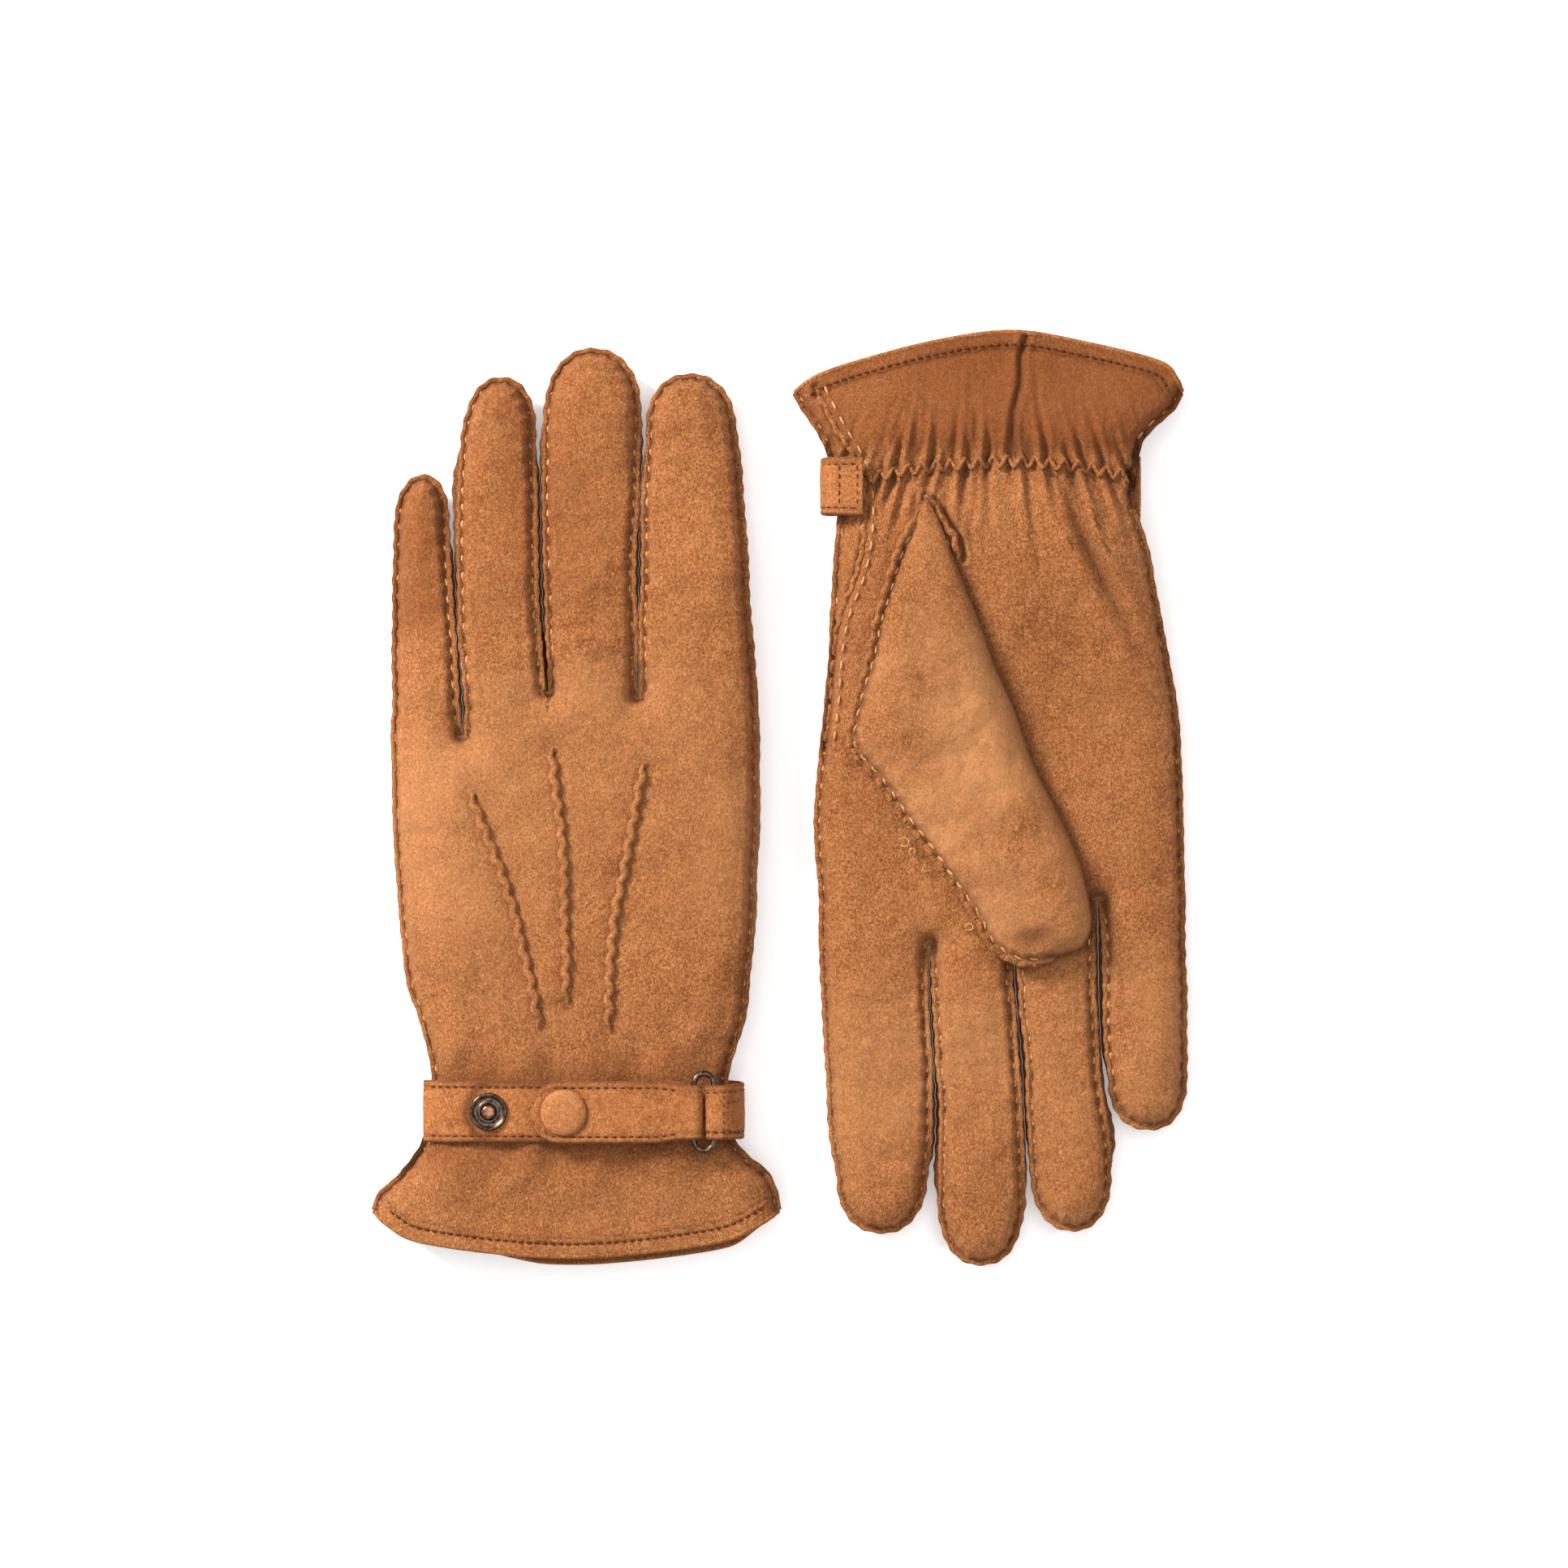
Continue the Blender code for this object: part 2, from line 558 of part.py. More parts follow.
def ring(glove):
    """An oval ring of round wire lying flat."""
    middle_x = (RING_BAR_LEFT + RING_BAR_RIGHT) / 2
    radius = (RING_BAR_RIGHT - RING_BAR_LEFT) / 2
    straight = RING_HALF_LENGTH - radius
    path = [(middle_x + radius * math.cos(math.radians(a)), straight + radius * math.sin(math.radians(a)),
             math.radians(a)) for a in range(0, 181, 30)]
    path += [(middle_x + radius * math.cos(math.radians(a)), -straight + radius * math.sin(math.radians(a)),
              math.radians(a)) for a in range(180, 361, 30)]
    sides, points, faces = 8, [], []
    for x, y, turn in path:
        for k in range(sides):
            a = 2 * math.pi * k / sides
            out = WIRE * math.cos(a)
            points.append((x + out * math.cos(turn), y + out * math.sin(turn), BAR_Z + WIRE * math.sin(a)))
    count = len(path)
    for i in range(count):
        for k in range(sides):
            here, there = i * sides, (i + 1) % count * sides
            faces.append((here + k, there + k, there + (k + 1) % sides, here + (k + 1) % sides))
    shaded_round(glove.add("strap_ring", points, faces, "metal", rigid=True))


def snap(glove):
    """Two studs in the lower run; a socket ring under the tab's end, and the covered cap on top of it."""
    base = STRAP_TOP + GAP
    stud = [(0, base), (STUD_BASE_RADIUS, base), (STUD_BASE_RADIUS, base + 0.4), (2.6, base + 0.45),
            (STUD_WAIST_RADIUS, base + 0.7), (STUD_WAIST_RADIUS, base + 1.1), (STUD_HEAD_RADIUS, base + 1.3),
            (1.3, base + 1.65), (0, base + 1.7)]
    turned(glove, "snap_stud_outer", stud, STUD_OUTER_X, "metal")
    turned(glove, "snap_stud_inner", stud, STUD_INNER_X, "metal")
    socket_foot, socket_shoulder, socket_top = base + 0.75, base + 1.7, base + 2.2
    socket = [(SOCKET_HOLE_RADIUS, socket_foot), (SOCKET_RADIUS, socket_foot), (SOCKET_RADIUS, socket_shoulder),
              (SOCKET_RADIUS - 1.0, socket_top), (SOCKET_HOLE_RADIUS, socket_top)]
    turned(glove, "snap_socket", socket, STUD_INNER_X, "metal")
    cap_foot = TAB_Z + STRAP + GAP
    rim_top = cap_foot + CAP_RIM
    dome = [(CAP_RADIUS * math.cos(math.radians(a)), rim_top + (CAP_TOP - rim_top) * math.sin(math.radians(a)))
            for a in (0, 20, 42, 64)]
    turned(glove, "snap_cap", [(0, cap_foot), (CAP_RADIUS - 0.4, cap_foot), *dome, (CAP_FLAT_RADIUS, CAP_TOP),
                               (0, CAP_TOP)], STUD_INNER_X, "suede")


def build(glove):
    loop, seams = hand_loops()
    hand(glove, loop, seams)
    for name in FINGERS:
        finger(glove, name)
    thumb(glove)
    cuff_hem(glove, seams)
    wrist_elastic(glove)
    strap(glove, seams)
    strap_tab(glove)
    keeper(glove)
    ring(glove)
    snap(glove)


for old in list(bpy.data.objects):
    bpy.data.objects.remove(old)
for side_name, turned_over in (("left", False), ("right", True)):
    build(Glove(side_name, turned_over))
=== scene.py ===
"""The look of a pair of suede gloves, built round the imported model.

Each glove is drawn in its own flat frame, in millimetres, as the model's is: x across the hand towards
the index finger, y from the wrist strap towards the fingertips, z up from the palm to the back.
"""

import math

import bpy
import numpy as np
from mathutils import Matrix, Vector, noise
from mathutils.geometry import delaunay_2d_cdt


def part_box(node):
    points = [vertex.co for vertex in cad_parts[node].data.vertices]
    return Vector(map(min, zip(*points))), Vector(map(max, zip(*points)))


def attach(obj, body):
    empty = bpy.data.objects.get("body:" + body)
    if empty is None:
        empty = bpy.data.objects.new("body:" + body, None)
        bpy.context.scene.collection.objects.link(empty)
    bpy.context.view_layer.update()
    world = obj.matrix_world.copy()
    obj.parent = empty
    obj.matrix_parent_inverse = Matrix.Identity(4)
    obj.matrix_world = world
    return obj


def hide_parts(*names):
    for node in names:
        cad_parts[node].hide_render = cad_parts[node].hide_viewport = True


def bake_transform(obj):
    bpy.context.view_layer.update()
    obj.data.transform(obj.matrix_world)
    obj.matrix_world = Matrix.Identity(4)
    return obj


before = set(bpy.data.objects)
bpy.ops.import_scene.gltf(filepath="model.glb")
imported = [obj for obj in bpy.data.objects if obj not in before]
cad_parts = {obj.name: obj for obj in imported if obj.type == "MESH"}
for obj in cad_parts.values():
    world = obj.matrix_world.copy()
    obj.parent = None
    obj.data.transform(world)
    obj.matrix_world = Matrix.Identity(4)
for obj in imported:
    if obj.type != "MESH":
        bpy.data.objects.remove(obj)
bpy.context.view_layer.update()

MM = 0.001

# ---- the model's dimensions ----
WRIST_X, WRIST_Y = 58.8, 90.3  # where each wrist centre lies from the middle of the pair
GLOVE_THICKNESS = 14.4
MIDDLE = GLOVE_THICKNESS / 2  # height of the seam between back and palm
LEATHER = 1.0
THUMB_LEFT, THUMB_RIGHT = 4.6, 11.0  # thickness of the thumb that lies under or over the palm
FOURCHETTE_HALF = 3.4  # half the height of a finger's side wall at its root
HINGES = {"pinky": 124.0, "ring": 141.0, "middle": 141.0, "index": 141.0}
HAND_REACH, FINGER_REACH = 13.0, 8.5  # how far in from the seam a layer reaches its full height
LIP = 2.0  # width of the sewn lip along every seam
STITCH_PITCH, STITCH_LENGTH, STITCH_RADIUS = 5.1, 2.8, 0.36  # hand stitches
STITCH_INSET = 1.75  # how far in from an edge they run
MACHINE_PITCH = 2.4  # the strap's and keeper's stitches
POINT_PITCH = 5.6  # along the three raised lines on the back
HEM_STITCHES, HEM_FOLD = 3.6, 5.0  # in from the cuff's edge
ZIGZAG_PITCH = 4.1
SLIT_GAP = 0.3  # how far each finger stays back from the line between it and its neighbour
STRAP_TOP = 16.0
BAR_Z = 17.2
BAR_NEAR, BAR_FAR = 33.4, 39.0
RING_HALF_LENGTH = 11.1
WIRE = 0.87  # radius of the ring's wire
STUD_OUTER_X, CAP_X = -26.0, -4.2
TAB_END, TAB_HALF = 14.3, 9.0  # where the tab's round end lies past the wrist's middle, and its radius
WRIST_RISE_RIGHT = 7.9  # how high the snap holds the right wrist

REACH = 17.0  # distances beyond this don't matter
FINE, COARSE = 0.85, 2.0  # spacing of the mesh on the sides that face up and down


# ---- outlines, in each glove's flat frame ----
class Outline:
    """The plan of one glove: its edges, its fingers' sides and tips, and the points between fingers."""

    def __init__(self, pinky_edge, index_edge, cuff, fingers):
        self.pinky_edge = pinky_edge
        self.index_edge = index_edge
        self.cuff = cuff
        self.fingers = fingers


LEFT = Outline(
    pinky_edge=[
        (-60.6, -28.7), (-58.4, -23.6), (-53.6, -19.3), (-48.6, -13.8), (-45.4, -8.0), (-44.2, 0.0),
        (-43.2, 8.9), (-43.9, 14.0), (-47.4, 27.7), (-50.8, 38.0), (-52.6, 55.9), (-54.5, 84.1),
        (-55.1, 108.0),
    ],
    index_edge=[
        (58.5, -28.7), (57.4, -23.4), (54.4, -17.2), (48.6, -12.4), (44.6, -7.0), (43.6, 0.0),
        (43.1, 9.0), (45.6, 18.3), (48.6, 27.7), (50.5, 46.5), (51.9, 74.7), (52.5, 92.0), (51.8, 121.0),
    ],
    cuff=[(58.5, -28.7), (51.0, -33.4), (38.8, -37.9), (6.0, -41.8), (-20.0, -41.2), (-46.3, -37.6),
          (-55.4, -33.2), (-60.6, -28.7)],
    fingers={
        "pinky": ([(-55.1, 108.0), (-55.0, 122.0), (-54.9, 145.0), (-54.3, 168.0)],
                  [(-33.7, 108.8), (-34.5, 122.0), (-36.1, 145.0), (-37.6, 168.0)], (-45.4, 184.8)),
        "ring": ([(-33.5, 108.8), (-33.8, 120.0), (-35.3, 145.0), (-35.8, 178.0), (-35.0, 195.0)],
                 [(-9.5, 121.7), (-10.0, 130.0), (-11.0, 145.0), (-11.8, 178.0), (-12.4, 195.0)],
                 (-22.6, 213.2)),
        "middle": ([(-9.1, 121.7), (-9.6, 130.0), (-10.6, 150.0), (-11.3, 182.0), (-11.0, 201.0)],
                   [(17.0, 120.3), (17.1, 135.0), (17.0, 159.0), (17.9, 182.0), (18.1, 201.0)],
                   (4.0, 221.4)),
        "index": ([(17.4, 120.3), (17.4, 131.0), (17.3, 150.0), (17.8, 180.0), (19.0, 196.0)],
                  [(51.8, 121.0), (51.3, 131.0), (50.0, 148.0), (48.3, 175.0), (46.4, 196.0)],
                  (31.8, 214.2)),
    },
)
RIGHT = Outline(
    pinky_edge=[
        (-57.5, -27.0), (-55.0, -22.3), (-49.6, -17.4), (-45.2, -11.8), (-43.9, -4.0), (-43.3, 4.0),
        (-45.3, 11.0), (-47.7, 20.0), (-50.3, 34.1), (-54.4, 52.9), (-56.9, 71.7), (-57.7, 93.0),
        (-58.5, 119.9),
    ],
    index_edge=[
        (55.9, -27.0), (53.3, -22.3), (50.1, -17.6), (47.2, -12.6), (44.8, -5.0), (43.3, 3.0),
        (42.9, 11.0), (44.0, 20.0), (45.1, 34.1), (45.9, 52.9), (47.5, 71.7), (49.4, 91.0), (49.5, 104.0),
        (48.5, 118.7), (48.3, 132.0),
    ],
    cuff=[(55.9, -27.0), (48.8, -32.0), (35.7, -36.6), (14.0, -42.2), (-8.0, -45.0), (-30.0, -41.5),
          (-50.5, -36.2), (-55.2, -31.7), (-57.5, -27.0)],
    fingers={
        "pinky": ([(-58.5, 119.9), (-59.0, 146.9), (-59.6, 162.0), (-59.2, 171.0)],
                  [(-33.0, 119.9), (-33.7, 140.0), (-34.3, 162.0), (-35.4, 171.0)], (-47.4, 187.0)),
        "ring": ([(-32.6, 119.9), (-32.5, 134.0), (-32.7, 150.0), (-34.2, 172.0), (-36.4, 188.0),
                  (-37.2, 199.0)],
                 [(-8.7, 136.3), (-9.4, 147.0), (-11.2, 165.7), (-11.8, 180.0), (-12.8, 199.0)],
                 (-25.4, 216.2)),
        "middle": ([(-8.3, 136.3), (-8.8, 147.0), (-10.3, 165.7), (-11.2, 182.0), (-12.4, 206.0)],
                   [(16.0, 132.8), (15.7, 147.0), (14.5, 166.0), (13.5, 186.0), (13.8, 206.0)],
                   (1.4, 226.2)),
        "index": ([(16.3, 132.8), (16.2, 147.0), (15.1, 166.0), (14.8, 182.0), (16.2, 199.0)],
                  [(48.3, 132.0), (47.7, 147.0), (46.7, 168.0), (45.6, 187.0), (43.8, 199.0)],
                  (30.2, 216.8)),
    },
)
THUMB_SEAM = [  # from the wrist up the palm seam and on round the tip
    (17.2, 3.1), (22.6, 10.8), (26.3, 18.3), (32.0, 37.4), (34.6, 50.5), (38.2, 61.0), (40.3, 71.5),
    (38.6, 77.6), (29.6, 88.1), (23.0, 98.0), (13.4, 110.8), (4.7, 123.4), (0.8, 131.4), (-4.6, 136.4),
    (-11.5, 139.0), (-19.5, 137.8),
]
THUMB_FOLD = [  # from the tip back down the folded edge
    (-22.6, 135.2), (-27.8, 133.2), (-30.6, 127.5), (-30.0, 120.0), (-27.0, 108.0), (-20.0, 92.1),
    (-14.1, 80.6), (-8.5, 64.9), (-2.6, 51.7), (1.2, 41.1), (6.3, 28.2), (9.6, 20.4), (13.2, 11.0),
]
PALM_INDEX_SEAM = [
    (49.2, -29.0), (42.8, -16.2), (37.8, -8.0), (35.2, 0.0), (35.2, 14.3), (37.8, 26.6), (41.1, 34.8),
    (43.5, 45.6), (44.9, 63.2), (46.6, 76.0),
]
PALM_CREASE = [(-23.3, -2.4), (-25.6, 7.0), (-29.0, 16.0), (-36.4, 31.0), (-41.4, 41.0), (-48.5, 58.0)]
PALM_ELASTIC = [(34.1, -2.4), (23.0, -4.7), (3.1, -6.8), (-9.2, -7.2), (-28.2, -5.5), (-41.0, -3.1)]
CUFF_DART = [(-12.0, -44.0), (-10.3, -37.6), (-10.1, -30.3), (-8.0, -20.4), (-8.5, -8.9)]
QUIRK_SEAM = [(17.2, 3.1), (13.2, 5.2), (11.0, 9.4), (8.0, 14.0), (6.4, 21.0)]
POINTS = [  # the three raised lines down the back
    [(-31.7, 92.6), (-21.2, 65.3), (-16.0, 46.5), (-11.3, 23.7)],
    [(-8.2, 105.5), (-4.5, 73.8), (-4.0, 56.9), (-3.5, 31.3)],
    [(19.0, 101.3), (13.9, 73.8), (11.0, 60.2), (8.9, 42.3), (8.5, 23.3)],
]
LOOSE_THREADS = [  # x, y, size and turn of each curl by the right thumb
    (23.5, 103.0, 1.7, 0.4), (21.0, 105.5, 1.2, 2.2), (17.5, 110.5, 0.9, 3.6), (4.5, 127.5, 1.3, 1.1),
]
SLIT_SIDES = {"pinky": (0, 1), "ring": (1, 1), "middle": (1, 1), "index": (1, 0)}  # pinky side, index side


# ---- curves and distances ----
def smooth(t):
    t = np.clip(t, 0.0, 1.0)
    return t * t * (3 - 2 * t)


def bell(gap, width):
    """1 where gap is 0, falling off smoothly on both sides within about twice the width."""
    return np.exp(-((gap / width) ** 2))


def curve(points, step, closed=False):
    """Points about `step` apart on a smooth curve through the given ones."""
    p = np.array(points, float)
    count = len(p)
    result = []
    for i in range(count if closed else count - 1):
        if closed:
            a, b, c, d = (p[(i + k - 1) % count] for k in range(4))
        else:
            a, b, c, d = p[max(i - 1, 0)], p[i], p[i + 1], p[min(i + 2, count - 1)]
        pieces = max(1, round(float(np.linalg.norm(c - b)) / step))
        t = (np.arange(pieces) / pieces)[:, None]
        result.append(0.5 * (2 * b + (c - a) * t + (2 * a - 5 * b + 4 * c - d) * t**2
                             + (3 * b - a - 3 * c + d) * t**3))
    if not closed:
        result.append(p[-1:])
    return np.concatenate(result)


def even(path, step):
    """The same polyline with its points a steady step apart."""
    lengths = np.concatenate([[0], np.cumsum(np.linalg.norm(np.diff(path, axis=0), axis=1))])
    count = max(2, int(round(lengths[-1] / step)) + 1)
    at = np.linspace(0, lengths[-1], count)
    return np.stack([np.interp(at, lengths, path[:, k]) for k in range(path.shape[1])], axis=1)


def near(points, path, closed=False):
    """For each point its distance to a polyline, up to REACH, and how far along the nearest spot lies."""
    a = path if closed else path[:-1]
    b = np.roll(path, -1, axis=0) if closed else path[1:]
    lengths = np.linalg.norm(b - a, axis=1)
    starts = np.concatenate([[0], np.cumsum(lengths)[:-1]])
    position = np.zeros(len(points))
    low, high = np.minimum(a[:, 1], b[:, 1]), np.maximum(a[:, 1], b[:, 1])
    best = np.full(len(points), REACH)
    order = np.argsort(points[:, 1])
    for first in range(0, len(points), 400):
        chosen = order[first:first + 400]
        p = points[chosen]
        use = (high > p[0, 1] - REACH) & (low < p[-1, 1] + REACH)
        use &= (np.maximum(a[:, 0], b[:, 0]) > p[:, 0].min() - REACH)
        use &= (np.minimum(a[:, 0], b[:, 0]) < p[:, 0].max() + REACH)
        if not use.any():
            continue
        start, along = a[use], (b - a)[use]
        gap = p[:, None, :] - start
        t = (gap[..., 0] * along[:, 0] + gap[..., 1] * along[:, 1]) / np.maximum((along**2).sum(-1), 1e-12)
        t = np.clip(t, 0, 1)
        dx, dy = gap[..., 0] - along[:, 0] * t, gap[..., 1] - along[:, 1] * t
        squared = dx * dx + dy * dy
        pick = squared.argmin(axis=1)
        rows = np.arange(len(p))
        best[chosen] = np.minimum(np.sqrt(squared[rows, pick]), REACH)
        position[chosen] = starts[use][pick] + t[rows, pick] * lengths[use][pick]
    return best, position


def distance(points, path, closed=False):
    return near(points, path, closed)[0]


def inside(points, loop):
    found = np.zeros(len(points), bool)
    for a, b in zip(loop, np.roll(loop, -1, axis=0)):
        if a[1] == b[1]:
            continue
        crosses = (a[1] > points[:, 1]) != (b[1] > points[:, 1])
        x = a[0] + (points[:, 1] - a[1]) / (b[1] - a[1]) * (b[0] - a[0])
        found ^= crosses & (points[:, 0] < x)
    return found


def offset(path, depth):
    """The path moved to its left by depth."""
    along = np.gradient(path, axis=0)
    along /= np.maximum(np.linalg.norm(along, axis=1), 1e-9)[:, None]
    return path + np.stack([-along[:, 1], along[:, 0]], axis=1) * np.reshape(depth, (-1, 1))


def scalloped(path, outward, seed, depth):
    """A sewn edge: it swells between stitches and wavers a little. outward is 1 if its left is outside."""
    path = even(path, 0.8)
    along = np.arange(len(path)) * 0.8
    ends = smooth(np.minimum(along, along[::-1]) / 6.0)
    sway = depth * np.cos(2 * np.pi * along / STITCH_PITCH) + 0.45 * ripple(path, 16.0, seed, 2)
    return path + (offset(path, outward) - path) * (sway * ends)[:, None]


def triangulate(loop, spacing, rows=(0.45, 0.95, 1.45, 1.9, 2.4, 3.0, 3.8)):
    """Triangles inside a loop: rows of points that follow its edge, and an even grid within."""
    points = [loop]
    taken = 0.0
    for depth in rows:
        for side in (1, -1):
            row = offset(np.vstack([loop, loop[:1]]), side * depth)[:-1]
            keep = inside(row, loop) & (distance(row, loop, True) > depth * 0.93)
            points.append(row[keep])
        taken = depth
    low, high = loop.min(axis=0), loop.max(axis=0)
    grid = []
    for j, y in enumerate(np.arange(low[1], high[1], spacing * 0.87)):
        xs = np.arange(low[0] + (j % 2) * spacing / 2, high[0], spacing)
        grid.append(np.stack([xs, np.full(len(xs), y)], axis=1))
    grid = np.concatenate(grid)
    grid = grid[inside(grid, loop)]
    grid = grid[distance(grid, loop, True) > taken + spacing * 0.6]
    flat = np.concatenate([*points, grid])
    count = len(loop)
    edges = [(i, (i + 1) % count) for i in range(count)]
    coords, _, faces, *_ = delaunay_2d_cdt([Vector(p) for p in flat], edges, [], 1, 1e-4)
    coords = np.array([tuple(c) for c in coords])
    faces = np.array([f for f in faces if len(f) == 3])
    centres = coords[faces].mean(axis=1)
    faces = faces[inside(centres, loop)]
    a, b, c = (coords[faces[:, k]] for k in range(3))
    turned = (b[:, 0] - a[:, 0]) * (c[:, 1] - a[:, 1]) < (b[:, 1] - a[:, 1]) * (c[:, 0] - a[:, 0])
    faces[turned] = faces[turned][:, ::-1]
    return coords, faces


def ripple(points, scale, seed, octaves=3, stretch=(1.0, 1.0)):
    """Smooth noise of about -1 to 1 whose bumps are `scale` millimetres across."""
    values = []
    for x, y in points:
        spot = Vector((x / scale * stretch[0], y / scale * stretch[1], seed * 17.3))
        values.append(noise.fractal(spot, 0.9, 2.0, octaves))
    return np.array(values)


def zigzag_of(p, away):
    """The elastic's zigzag: its height across the line at each point, and the point's distance from it."""
    saw = 1.7 * (np.abs(((p[:, 0] / ZIGZAG_PITCH) % 1.0) * 2 - 1) * 2 - 1)
    return saw, np.abs(away - saw) * 0.72


# ---- one glove ----
class Glove:
    def __init__(self, name, outline, mirrored):
        self.name = name
        self.outline = outline
        self.mirrored = mirrored
        self.seed = 2 if mirrored else 1
        self.pinky_edge = scalloped(curve(outline.pinky_edge, 1.0), 1, self.seed, 0.1)
        self.index_edge = scalloped(curve(outline.index_edge, 1.0), -1, self.seed + 3, 0.1)
        self.loops = {finger: self.finger_path(finger) for finger in HINGES}
        self.seams = [self.pinky_edge, *self.loops.values(), self.index_edge]
        self.cuffs = {1: curve(outline.cuff, 1.0), -1: curve(outline.cuff, 1.0)}
        if not mirrored:
            # The palm's hem hangs out a little below the back's.
            x = self.cuffs[-1][:, 0]
            self.cuffs[-1][:, 1] -= 2.7 * smooth((x + 34.0) / 26.0) * smooth((57.0 - x) / 14.0)

    def finger_path(self, finger):
        """A finger's edge from its root on the pinky side, round the tip, to its root on the index side."""
        left, right, tip = self.outline.fingers[finger]
        left_top, right_top, tip = np.array(left[-1]), np.array(right[-1]), np.array(tip)
        middle = (left_top + right_top) / 2
        cap = []
        for angle in range(12, 172, 8):
            a = math.radians(angle)
            side = left_top if angle < 90 else right_top
            across = abs(math.cos(a)) ** 0.86
            up = math.sin(a) ** 0.94
            cap.append(middle + (side - middle) * across + (tip - middle) * up)
        path = scalloped(curve([*left, *cap, *right[::-1]], 1.0), 1, self.seed + 7, 0.17)
        along = np.arange(len(path)) * 0.8
        return offset(path, -SLIT_GAP * smooth(np.minimum(along, along[::-1]) / 9.0))

    # -- heights --
    def rise(self, x, y):
        """How far the glove lies above the table: over its thumb, or over its strap."""
        if self.mirrored:
            span = np.where(y < 0, 28.0, 65.0)
            return WRIST_RISE_RIGHT * (1 - smooth((np.abs(y) - 12.0) / span))
        cuff = 0.35 + 0.65 * smooth((y + 33.0) / 22.0)
        palm = (THUMB_LEFT + 0.3) * smooth((x + 56.0) / 24.0)
        return palm * cuff * (1 - smooth((y - 152.0) / 36.0))

    def place(self, points, rigid=False):
        """Millimetres in the glove's flat frame to metres in the model's."""
        x, y, z = np.asarray(points, float).T
        lift = self.rise(np.zeros(1), np.zeros(1)) if rigid else self.rise(x, y)
        turned = -1 if self.mirrored else 1
        height = lift + (GLOVE_THICKNESS - z if self.mirrored else z)
        height = np.maximum(height, 0.02)  # nothing sinks into the table
        return np.stack([turned * (x - WRIST_X), turned * (y - WRIST_Y), height], axis=1) * MM

    def side_wall(self, p):
        """Half the height of the fourchette at the seam nearest to p."""
        half = np.zeros(len(p))
        for finger, (low_side, high_side) in SLIT_SIDES.items():
            left, right, tip = self.outline.fingers[finger]
            l, r = curve(left, 2.0), curve(right, 2.0)
            xl = np.interp(p[:, 1], l[:, 1], l[:, 0])
            xr = np.interp(p[:, 1], r[:, 1], r[:, 0])
            across = (p[:, 0] - xl) / (xr - xl)
            root = min(left[0][1], right[0][1])
            t = (p[:, 1] - root) / (tip[1] - root)
            height = FOURCHETTE_HALF * smooth(t / 0.16) * (1 - smooth((t - 0.55) / 0.4))
            share = low_side + (high_side - low_side) * smooth(across * 2 - 0.5)
            here = (across > -0.02) & (across < 1.02) & (p[:, 1] > root)
            half = np.where(here, height * share, half)
        return half

    def half_height(self, p, face):
        """Height of a layer's outer surface above the middle, without the fine folds."""
        depth, pinch = self.from_seam(p)
        wall = self.side_wall(p)
        reach = HAND_REACH + (FINGER_REACH - HAND_REACH) * smooth((p[:, 1] - 92.0) / 40.0)
        t = np.clip((depth - LIP * 0.9) / reach, 0, 1)
        puff = np.sqrt(1 - (1 - t) ** 2)
        full = MIDDLE - LEATHER
        height = wall + LEATHER + (full - wall) * puff
        height += (0.3 + 0.18 * pinch) * bell(depth - 0.8, 0.7)
        height -= (0.6 - 0.25 * pinch) * bell(depth - LIP, 0.6)
        height += 0.3 * bell(depth - LIP - 1.9, 1.1)
        return height + self.folds(p, depth, face)

    def from_seam(self, p):
        """Distance in from the nearest seam, and 1 between its stitches to -1 at them."""
        depth, pinch, _ = self.seam_reading(p)
        return depth, pinch

    def seam_reading(self, p):
        """The same, with how far round its finger the seam has come: 0 pinky side, 1 index side."""
        depth, pinch, turn = np.full(len(p), REACH), np.zeros(len(p)), np.zeros(len(p))
        for number, seam in enumerate(self.seams):
            here, along = near(p, seam)
            closer = here < depth
            depth[closer] = here[closer]
            pinch[closer] = np.cos(2 * np.pi * along[closer] / STITCH_PITCH)
            if seam is self.pinky_edge or seam is self.index_edge:
                turn[closer] = number > 0
            else:
                turn[closer] = along[closer] / (len(seam) * 0.8)
        return depth, pinch, turn

    def shade_and_edge_mask(self, p, face):
        """Painted shade and darker cut edges, 0 to 1: shade in grooves, creases and pleats, beside the
        strap and by the thumb's folded edge, stronger on the sides turned from the light.
        """
        depth, pinch, turn = self.seam_reading(p)
        # painted shade: the seams' grooves and cut edges are darkened more on the sides of the fingers
        # turned away from the light
        shaded = smooth(((1 - turn if self.mirrored else turn) - 0.35) / 0.3)
        found = bell(depth - LIP, 0.6) * (0.5 - 0.2 * pinch) * (0.35 + 0.65 * shaded)
        found += 0.6 * (1 - smooth(depth / 0.7)) * (0.3 + 0.7 * shaded)
        from_hem = distance(p, self.cuffs[face])
        found += 0.25 * bell(from_hem - HEM_FOLD, 0.6) + 0.3 * bell(from_hem - HEM_STITCHES, 0.4)
        found += 0.5 * (1 - smooth(from_hem / 0.8))
        if face > 0:
            for line in POINTS:
                gap = distance(p, curve(line, 2.0))
                found += 0.3 * bell(gap - 1.3, 0.7)
            # painted shadow along both edges of the strap
            found += 0.5 * bell(np.abs(p[:, 1]) - 9.5, 3.0) * (np.abs(p[:, 0]) < 48)
        else:
            for line, width in ((CUFF_DART, 1.0), (PALM_INDEX_SEAM, 0.8), (QUIRK_SEAM, 0.9)):
                found += 0.8 * bell(distance(p, curve(line, 1.5)), width)
            crease, fade = self.from_crease(p)
            found += 0.6 * fade * bell(crease, 2.4)
            found += 0.35 * bell(distance(p, curve(PALM_ELASTIC, 1.5)), 3.2)
            found += 0.6 * smooth(-self.pleats(p) - 0.2)
            # painted shadow cast by the thumb's folded edge on the palm
            found += 0.75 * bell(distance(p, curve(THUMB_FOLD, 2.0)), 2.2)
        return np.clip(found, 0, 1)

